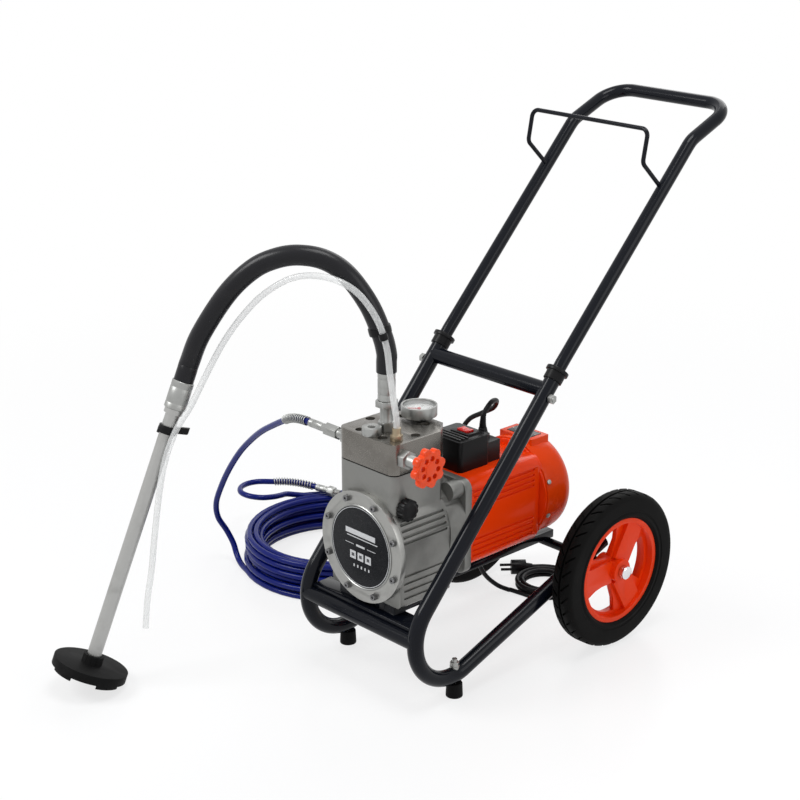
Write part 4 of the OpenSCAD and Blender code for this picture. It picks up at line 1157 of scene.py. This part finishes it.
    def build_suction_hose(self) -> None:
        """The thick hose from the pipe to the head, with its ferrules."""
        way = Vector(PIPE_WAY)
        start = Vector(PIPE_BASE) / MM + way * 487
        route = [
            start, start + way * 16, start + way * 32, (-219, -467, 548), (-186, -441, 612),
            (-155, -416, 651), (-127, -394, 669), (-100, -372, 675), (-71, -348, 669),
            (-45, -328, 648), (-21, -308, 605), (-6, -296, 560), (0, -292, 532),
            (0, -292, 517), (0, -292, 502),
        ]
        line = eased(route, 8)
        hose = self.curve("suction_hose_skin", line, 31.0, 10)
        fit(hose, Palette.SUCTION, "chassis", "suction_hose")
        low = self.ferrule("suction_ferrule_low", 34, 44, 15.5)
        Bench.place(low, tuple((start - way * 44) * MM), tuple(way))
        top = self.ferrule("suction_ferrule_top", 27, 44, 13)
        Bench.place(top, (0, -0.292, 0.458))
        for piece in (low, top):
            fit(piece, Palette.ZINC, "chassis", "hose_ferrules")
        line[0] * MM

    def build_return_tube(self) -> None:
        """The clear tube that runs back beside the hose and the pipe."""
        route = [
            (43, -312, 430), (43, -312, 442), (41, -313, 456), (30, -308, 482), (22, -306, 510),
            (17, -307, 545), (6, -315, 587), (-13.7, -331.3, 624.1), (-39, -348.7, 643.1),
            (-73.8, -367, 648.3), (-105, -386, 641), (-139, -407, 616), (-166, -425, 583),
            (-192, -443, 540), (-212, -462, 490), (-222, -488, 440), (-230, -515, 400),
            (-236, -536, 344), (-241, -550, 261), (-241, -563, 184), (-239, -575, 137),
            (-236, -583, 93),
        ]
        line = eased(route, 8)
        tube = self.curve("return_tube_skin", line, 10.0, 6)
        fit(tube, Palette.CLEAR, "chassis", "return_tube")
        line[0] * MM

    def build(self) -> None:
        """Builds every cord."""
        self.build_paint_hose()
        self.build_mains_lead()
        self.build_suction_hose()
        self.build_return_tube()


# ---------------------------------------------------------------- machine


def plain(node: str, finish: Finish) -> None:
    """Dresses a CAD node that stays in view.

    Args:
        node: its name.
        finish: its finish.
    """
    Palette.dress(NODES[node], finish)


@dataclass
class CartFrame:
    """Tubes, rails, brackets, feet and the handle."""

    def build(self) -> None:
        """Dresses and rounds the frame's pieces."""
        for node in ("side_tube_right", "side_tube_left", "crossbars", "axle", "handle_tube", "hose_rack"):
            plain(node, Palette.FRAME)
        rounded = (
            ("base_rails", Palette.FRAME, 0.0012, 2),
            ("front_bracket", Palette.FRAME, 0.0012, 2),
            ("motor_foot", Palette.FRAME, 0.0012, 2),
            ("slide_collars", Palette.BLACK, 0.0009, 2),
            ("feet", Palette.FOOT, 0.0014, 2),
            ("frame_bolts", Palette.ZINC, 0.0004, 2),
            ("axle_nuts", Palette.CHROME, 0.0008, 2),
        )
        for node, finish, width, segments in rounded:
            softened(node, finish, "chassis", width, segments)


@dataclass
class Wheels:
    """Two plastic rims with chevron tyres."""

    radius: float = 0.130
    half: float = 0.020
    inner: float = 0.08805
    bars: int = 36

    def build_tyre(self) -> bpy.types.Object:
        """One tyre along Z with its chevron grooves cut.

        Returns:
            The tyre, centred on the origin.
        """
        r, h, b = self.radius - 0.0002, self.half, self.inner
        outline = [(b, -0.015), (b + 0.002, -h + 0.002), (b + 0.005, -h), (b + 0.008, -h + 0.0004)]
        outline += [(b + 0.009, -h + 0.0012), (b + 0.012, -h + 0.0012), (b + 0.013, -h + 0.0002)]
        outline += [(b + 0.022, -h), (r - 0.012, -h + 0.0002)]
        for k in range(1, 7):
            turn = math.radians(15 * k)
            outline.append((r - 0.011 + 0.011 * math.sin(turn), -h + 0.011 - 0.011 * math.cos(turn)))
        outline += [(r, -0.0022), (r - 0.0035, -0.0016)]
        outline += [(x, -z) for x, z in reversed(outline)]
        tyre = Bench.lathe("tyre", outline + [outline[0]], 132)
        bars = []
        for side in (-1, 1):
            for k in range(self.bars):
                Bench.clear()
                bpy.ops.mesh.primitive_cube_add(size=1, scale=(0.0078, 0.0030, 0.028))
                bar = Bench.settle(bpy.context.object, "groove")
                turn = math.radians(360 / self.bars * (k + (0.5 if side > 0 else 0)))
                bar.data.transform(
                    Matrix.Rotation(turn, 4, "Z")
                    @ Matrix.Translation((self.radius, 0, side * 0.0132))
                    @ Matrix.Rotation(math.radians(side * 46), 4, "X")
                )
                bars.append(bar)
        cutter = Bench.joined(bars, "grooves")
        Bench.pick(tyre)
        cut = tyre.modifiers.new("grooves", "BOOLEAN")
        cut.operation = "DIFFERENCE"
        cut.solver = "EXACT"
        cut.object = cutter
        bpy.ops.object.modifier_apply(modifier=cut.name)
        bpy.data.objects.remove(cutter)
        Bench.smooth(tyre, 28)
        return tyre

    def build(self) -> None:
        """Builds both wheels."""
        tyre = self.build_tyre()
        for side, word in ((1, "right"), (-1, "left")):
            turn = Matrix.Rotation(side * math.pi / 2, 4, "Y")
            place = Matrix.Translation((side * 0.1645, 0.0525, 0.13)) @ turn
            made = Bench.copied(tyre, f"tyre_{word}_treaded", place)
            fit(made, Palette.TYRE, f"wheel_{word}", f"tyre_{word}")
            softened(f"rim_{word}", Palette.RIM, f"wheel_{word}", 0.0014, 3)
        bpy.data.objects.remove(tyre)


@dataclass
class PumpUnit:
    """Crankcase, cover with its round plate, head, fittings, gauge and valve."""

    def build_cover_plate(self) -> None:
        """The round plate on the cover: dark face, bright rim, plain lines."""
        rim = Bench.lathe(
            "plate_rim",
            [(0.0655, 0.0), (0.0655, 0.0012), (0.0665, 0.0021), (0.0675, 0.0021), (0.0685, 0.0012),
             (0.0685, 0.0), (0.0655, 0.0)],
            96,
        )
        Bench.place(rim, COVER_FACE, (0, -1, 0))
        fit(rim, Palette.ZINC, "chassis")
        face = Bench.lathe("plate_face", [(0.0, 0.0), (0.0654, 0.0), (0.0654, 0.0011), (0.0, 0.0011)], 96)
        Bench.place(face, COVER_FACE, (0, -1, 0))
        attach(face, "chassis")
        Palette.wear(face, self.plate_material(), "gauge_black")

    @staticmethod
    def stroke(value: Wire, half: float) -> Wire:
        """A line where a value is nearly 0.

        Args:
            value: the value, in metres.
            half: half the line's width.

        Returns:
            1 on the line and 0 off it.
        """
        return 1.0 - value.size().step(half, half + 0.0002)

    @classmethod
    def box(cls, x: Wire, z: Wire, half_x: float, half_z: float) -> Wire:
        """A filled box round the point where x and z are 0.

        Args:
            x: distance across, in metres.
            z: distance up, in metres.
            half_x: half its width.
            half_z: half its height.

        Returns:
            1 in the box and 0 outside it.
        """
        return cls.stroke(x, half_x) * cls.stroke(z, half_z)

    def plate_material(self) -> bpy.types.Material:
        """Dark printed sheet with a plain ring, bars, squares and ticks.

        Returns:
            The material.
        """
        shader = Shader("round_plate_print")
        x, _, z = shader.axes()
        z = z - COVER_FACE[2]
        radius = (x * x + z * z) ** 0.5
        ring = self.stroke(radius - 0.0635, 0.0004)
        title = self.box(x, z - 0.0215, 0.033, 0.0042)
        under = self.box(x - 0.004, z - 0.0135, 0.034, 0.0007)
        rule = self.box(x, z - 0.001, 0.034, 0.0004) * (1.0 - self.box(x, z - 0.001, 0.015, 0.002))
        number = self.box(x, z - 0.001, 0.0095, 0.0016)
        squares = Wire(shader, 0.0)
        for at in (-0.017, 0.0, 0.017):
            outer = self.box(x - at, z + 0.0165, 0.0064, 0.0064)
            squares = squares + outer * (1.0 - self.box(x - at, z + 0.0165, 0.0030, 0.0026) * 0.85)
        dots = self.box(x, z + 0.0335, 0.021, 0.0022) * (x * 760.0).wave().step(0.35, 0.6)
        pale = (ring + title + under + rule + number + squares + dots).smaller(1.0)
        scratch = shader.noise(220, 3, (1, 1, 12)).step(0.62, 0.7)
        print_colour = shader.mix(pale, (0.006, 0.007, 0.009), (0.62, 0.63, 0.64))
        shader.set(
            Base_Color=shader.mix(scratch * 0.25, print_colour, (0.2, 0.2, 0.2)),
            Roughness=0.22 + 0.1 * shader.noise(30, 3) + 0.12 * pale,
            Metallic=0.35 * pale,
            Coat_Weight=0.1,
            Coat_Roughness=0.08,
            Specular_IOR_Level=0.12,
        )
        shader.relief(shader.noise(900, 2), 0.00002, 0.3)
        return shader.material

    def build_gauge(self) -> None:
        """Case, dial with ticks and plain numbers, and the glass."""
        softened("gauge_case", Palette.ZINC, "chassis", 0.0008, 3)
        plain("gauge_needle", Palette.RED)
        at = Vector((-0.006, -0.219, 0.42305))
        dial = Bench.lathe("dial_face", [(0.0, 0.0), (0.0248, 0.0), (0.0248, 0.0008), (0.0, 0.0008)], 72)
        Bench.place(dial, tuple(at))
        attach(dial, "chassis")
        Palette.wear(dial, self.dial_material(at), "gauge_black")
        marks = []
        for k in range(6):
            angle = math.radians(225 - 54 * k)
            Bench.clear()
            bpy.ops.object.text_add()
            text = bpy.context.object
            text.data.body = str(k)
            text.data.size = 0.0062
            text.data.align_x = "CENTER"
            text.data.align_y = "CENTER"
            text.data.extrude = 0.00004
            bpy.ops.object.convert(target="MESH")
            mark = Bench.settle(bpy.context.object, f"dial_number_{k}")
            mark.data.transform(
                Matrix.Translation(at + Vector((0.0152 * math.cos(angle), 0.0152 * math.sin(angle), 0.0009)))
            )
            marks.append(mark)
        fit(Bench.joined(marks, "dial_numbers"), Palette.BLACK, "chassis")
        glass = Bench.lathe("dial_glass", [(0.0, 0.0), (0.0246, 0.0), (0.0246, 0.0006), (0.0, 0.001)], 72)
        Bench.place(glass, (at.x, at.y, 0.4292))
        shader = Shader("dial_glass_clear")
        shader.set(
            Base_Color=(0.95, 0.97, 0.97), Alpha=0.12, Roughness=0.03 + 0.04 * shader.noise(80, 3),
            Coat_Weight=0.8, Coat_Roughness=0.02,
        )
        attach(glass, "chassis")
        Palette.wear(glass, shader.material, "tube_clear")

    @staticmethod
    def dial_material(at: Vector) -> bpy.types.Material:
        """White dial with an arc and ticks, round the point at.

        Args:
            at: the dial's centre.

        Returns:
            The material.
        """
        shader = Shader("dial_print")
        x, y, _ = shader.axes()
        x, y = x - at.x, y - at.y
        radius = (x * x + y * y) ** 0.5
        angle = shader.node("ShaderNodeMath", {"operation": "ARCTAN2"}, {0: y, 1: x})
        angle = Wire(shader, angle.outputs[0])
        tick = ((angle * 33.333 + 0.7854).wave()).step(0.82, 0.9)
        track = 1.0 - (radius - 0.0207).size().step(0.0013, 0.0015)
        arc = 1.0 - (radius - 0.0222).size().step(0.00025, 0.0004)
        ink = (tick * track + arc).smaller(1.0)
        shader.set(
            Base_Color=shader.mix(ink, (0.78, 0.78, 0.76), (0.02, 0.02, 0.02)),
            Roughness=0.4 + 0.1 * shader.noise(60, 2),
        )
        shader.relief(shader.noise(1200, 2), 0.00001, 0.2)
        return shader.material

    def build(self) -> None:
        """Builds the pump."""
        rounded = (
            ("pump_housing", Palette.CASTING, 0.0018, 3),
            ("crank_cover", Palette.COVER, 0.0012, 3),
            ("cover_screws", Palette.SCREW, 0.0005, 2),
            ("pump_head", Palette.HEAD, 0.0012, 3),
            ("head_bolts", Palette.SCREW, 0.0005, 2),
            ("head_plug", Palette.ZINC, 0.0006, 2),
            ("suction_fitting", Palette.ZINC, 0.0006, 2),
            ("return_fitting", Palette.BRASS, 0.0005, 2),
            ("outlet_fitting", Palette.ZINC, 0.0005, 2),
            ("valve_body", Palette.ZINC, 0.0005, 2),
        )
        for node, finish, width, segments in rounded:
            softened(node, finish, "chassis", width, segments)
        softened("valve_handwheel", Palette.KNOB, "pressure_valve", 0.0011, 3)
        softened("oil_cap", Palette.BLACK, "filler_cap", 0.0009)
        for node, finish in (
            ("head_gasket", Palette.FOOT),
            ("diaphragm", Palette.FOOT),
            ("crank_shaft", Palette.SHAFT),
            ("shaft_bearings", Palette.SHAFT),
            ("piston", Palette.SHAFT),
        ):
            plain(node, finish)
        self.build_cover_plate()
        self.build_gauge()


@dataclass
class MotorUnit:
    """Motor, fan cover and switch box."""

    def build_plates(self) -> None:
        """The blank rating plate with its rivets."""
        plate = Bench.block("rating_plate", (0.052, 0.026, 0.0009), (0, 0.012, 0.33045), 0.0003, 2)
        fit(plate, Palette.GAUGE, "chassis")
        rivets = []
        for x in (-0.0235, 0.0235):
            rivet = Bench.lathe("rivet", [(0.0, 0.0), (0.0014, 0.0), (0.0012, 0.0006), (0.0, 0.0009)], 20)
            Bench.place(rivet, (x, 0.012, 0.3309))
            rivets.append(rivet)
        fit(Bench.joined(rivets, "plate_rivets"), Palette.ZINC, "chassis")

    def build(self) -> None:
        """Builds the motor."""
        rounded = (
            ("motor_flange", Palette.CASTING, 0.0014, 3),
            ("motor_body", Palette.MOTOR, 0.0009, 2),
            ("end_shield", Palette.MOTOR, 0.0010, 2),
            ("fan_cover", Palette.FAN, 0.0008, 2),
            ("fan_cover_screws", Palette.ZINC, 0.0004, 2),
            ("switch_box", Palette.BLACK, 0.0010, 2),
        )
        for node, finish, width, segments in rounded:
            softened(node, finish, "chassis", width, segments)
        softened("rocker_switch", Palette.RED, "rocker", 0.0005)
        softened("cable_gland", Palette.BLACK, "chassis", 0.0005)
        for node, finish in (
            ("stator", Palette.CORE),
            ("rotor", Palette.CORE),
            ("cooling_fan", Palette.BLACK),
        ):
            plain(node, finish)
        self.build_plates()


@dataclass
class SuctionSet:
    """Pipe, strainer, clips and strap."""

    base: Vector = field(default_factory=lambda: Vector(PIPE_BASE))
    way: Vector = field(default_factory=lambda: Vector(PIPE_WAY))

    def along(self, t: float) -> Vector:
        """The point t metres up the pipe."""
        return self.base + self.way * t

    def build_straps(self) -> None:
        """The strap round hose and tube, and the clip block on the pipe."""
        hose = Bench.lathe(
            "strap_hose",
            [(0.01545, -0.006), (0.0172, -0.0055), (0.0175, 0.0), (0.0172, 0.0055), (0.01545, 0.006)], 48,
        )
        Bench.place(hose, (-0.0082, -0.2976, 0.566), (-0.2, -0.16, 0.97))
        tube = Bench.lathe(
            "strap_tube",
            [(0.0050, -0.0055), (0.0066, -0.005), (0.0069, 0.0), (0.0066, 0.005), (0.0050, 0.0055)], 32,
        )
        Bench.place(tube, (0.0135, -0.3105, 0.563), (-0.23, -0.17, 0.96))
        fit(Bench.joined([hose, tube], "hose_strap"), Palette.BLACK, "chassis")
        side = unit(Vector((0.6853, 0.7283, 0.0)) - self.way * 0.1)
        block = Bench.block("clip_block", (0.0235, 0.011, 0.0105), (0, 0, 0), 0.0012)
        turn = Matrix((side, self.way.cross(side), self.way)).transposed().to_4x4()
        block.data.transform(Matrix.Translation(self.along(0.409) + side * 0.0205) @ turn)
        ribs = []
        for k in range(9):
            rib = Bench.block("clip_rib", (0.0012, 0.0015, 0.010), (0, 0, 0), 0.0004)
            angle = math.radians(140 + 10 * k)
            rib.data.transform(
                Matrix.Translation(self.along(0.409)) @ turn
                @ Matrix.Rotation(angle, 4, "Z") @ Matrix.Translation((0.0150, 0, 0))
            )
            ribs.append(rib)
        fit(Bench.joined([block, *ribs], "pipe_clip_block"), Palette.BLACK, "chassis")

    def build(self) -> None:
        """Builds the suction set."""
        plain("suction_pipe", Palette.PIPE)
        softened("strainer", Palette.FOOT, "chassis", 0.0008)
        softened("hose_clips", Palette.BLACK, "chassis", 0.0006)
        self.build_straps()


def note_sizes(key: str, store: dict[str, list[list[float]]]) -> None:
    """Notes the object's box under a key.

    Args:
        key: when it was taken.
        store: where it is kept.
    """
    low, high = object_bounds()
    store[key] = [[float(v) for v in low], [float(v) for v in high]]


def main() -> None:
    """Builds the whole scene."""
    store: dict[str, list[list[float]]] = {}
    note_sizes("cad", store)
    Studio().build()
    Lines().build()
    CartFrame().build()
    Wheels().build()
    PumpUnit().build()
    MotorUnit().build()
    SuctionSet().build()
    Bench.clear()
    note_sizes("visual", store)
    LOG.info("sizes %s", store)


if __name__ == "__main__":
    main()
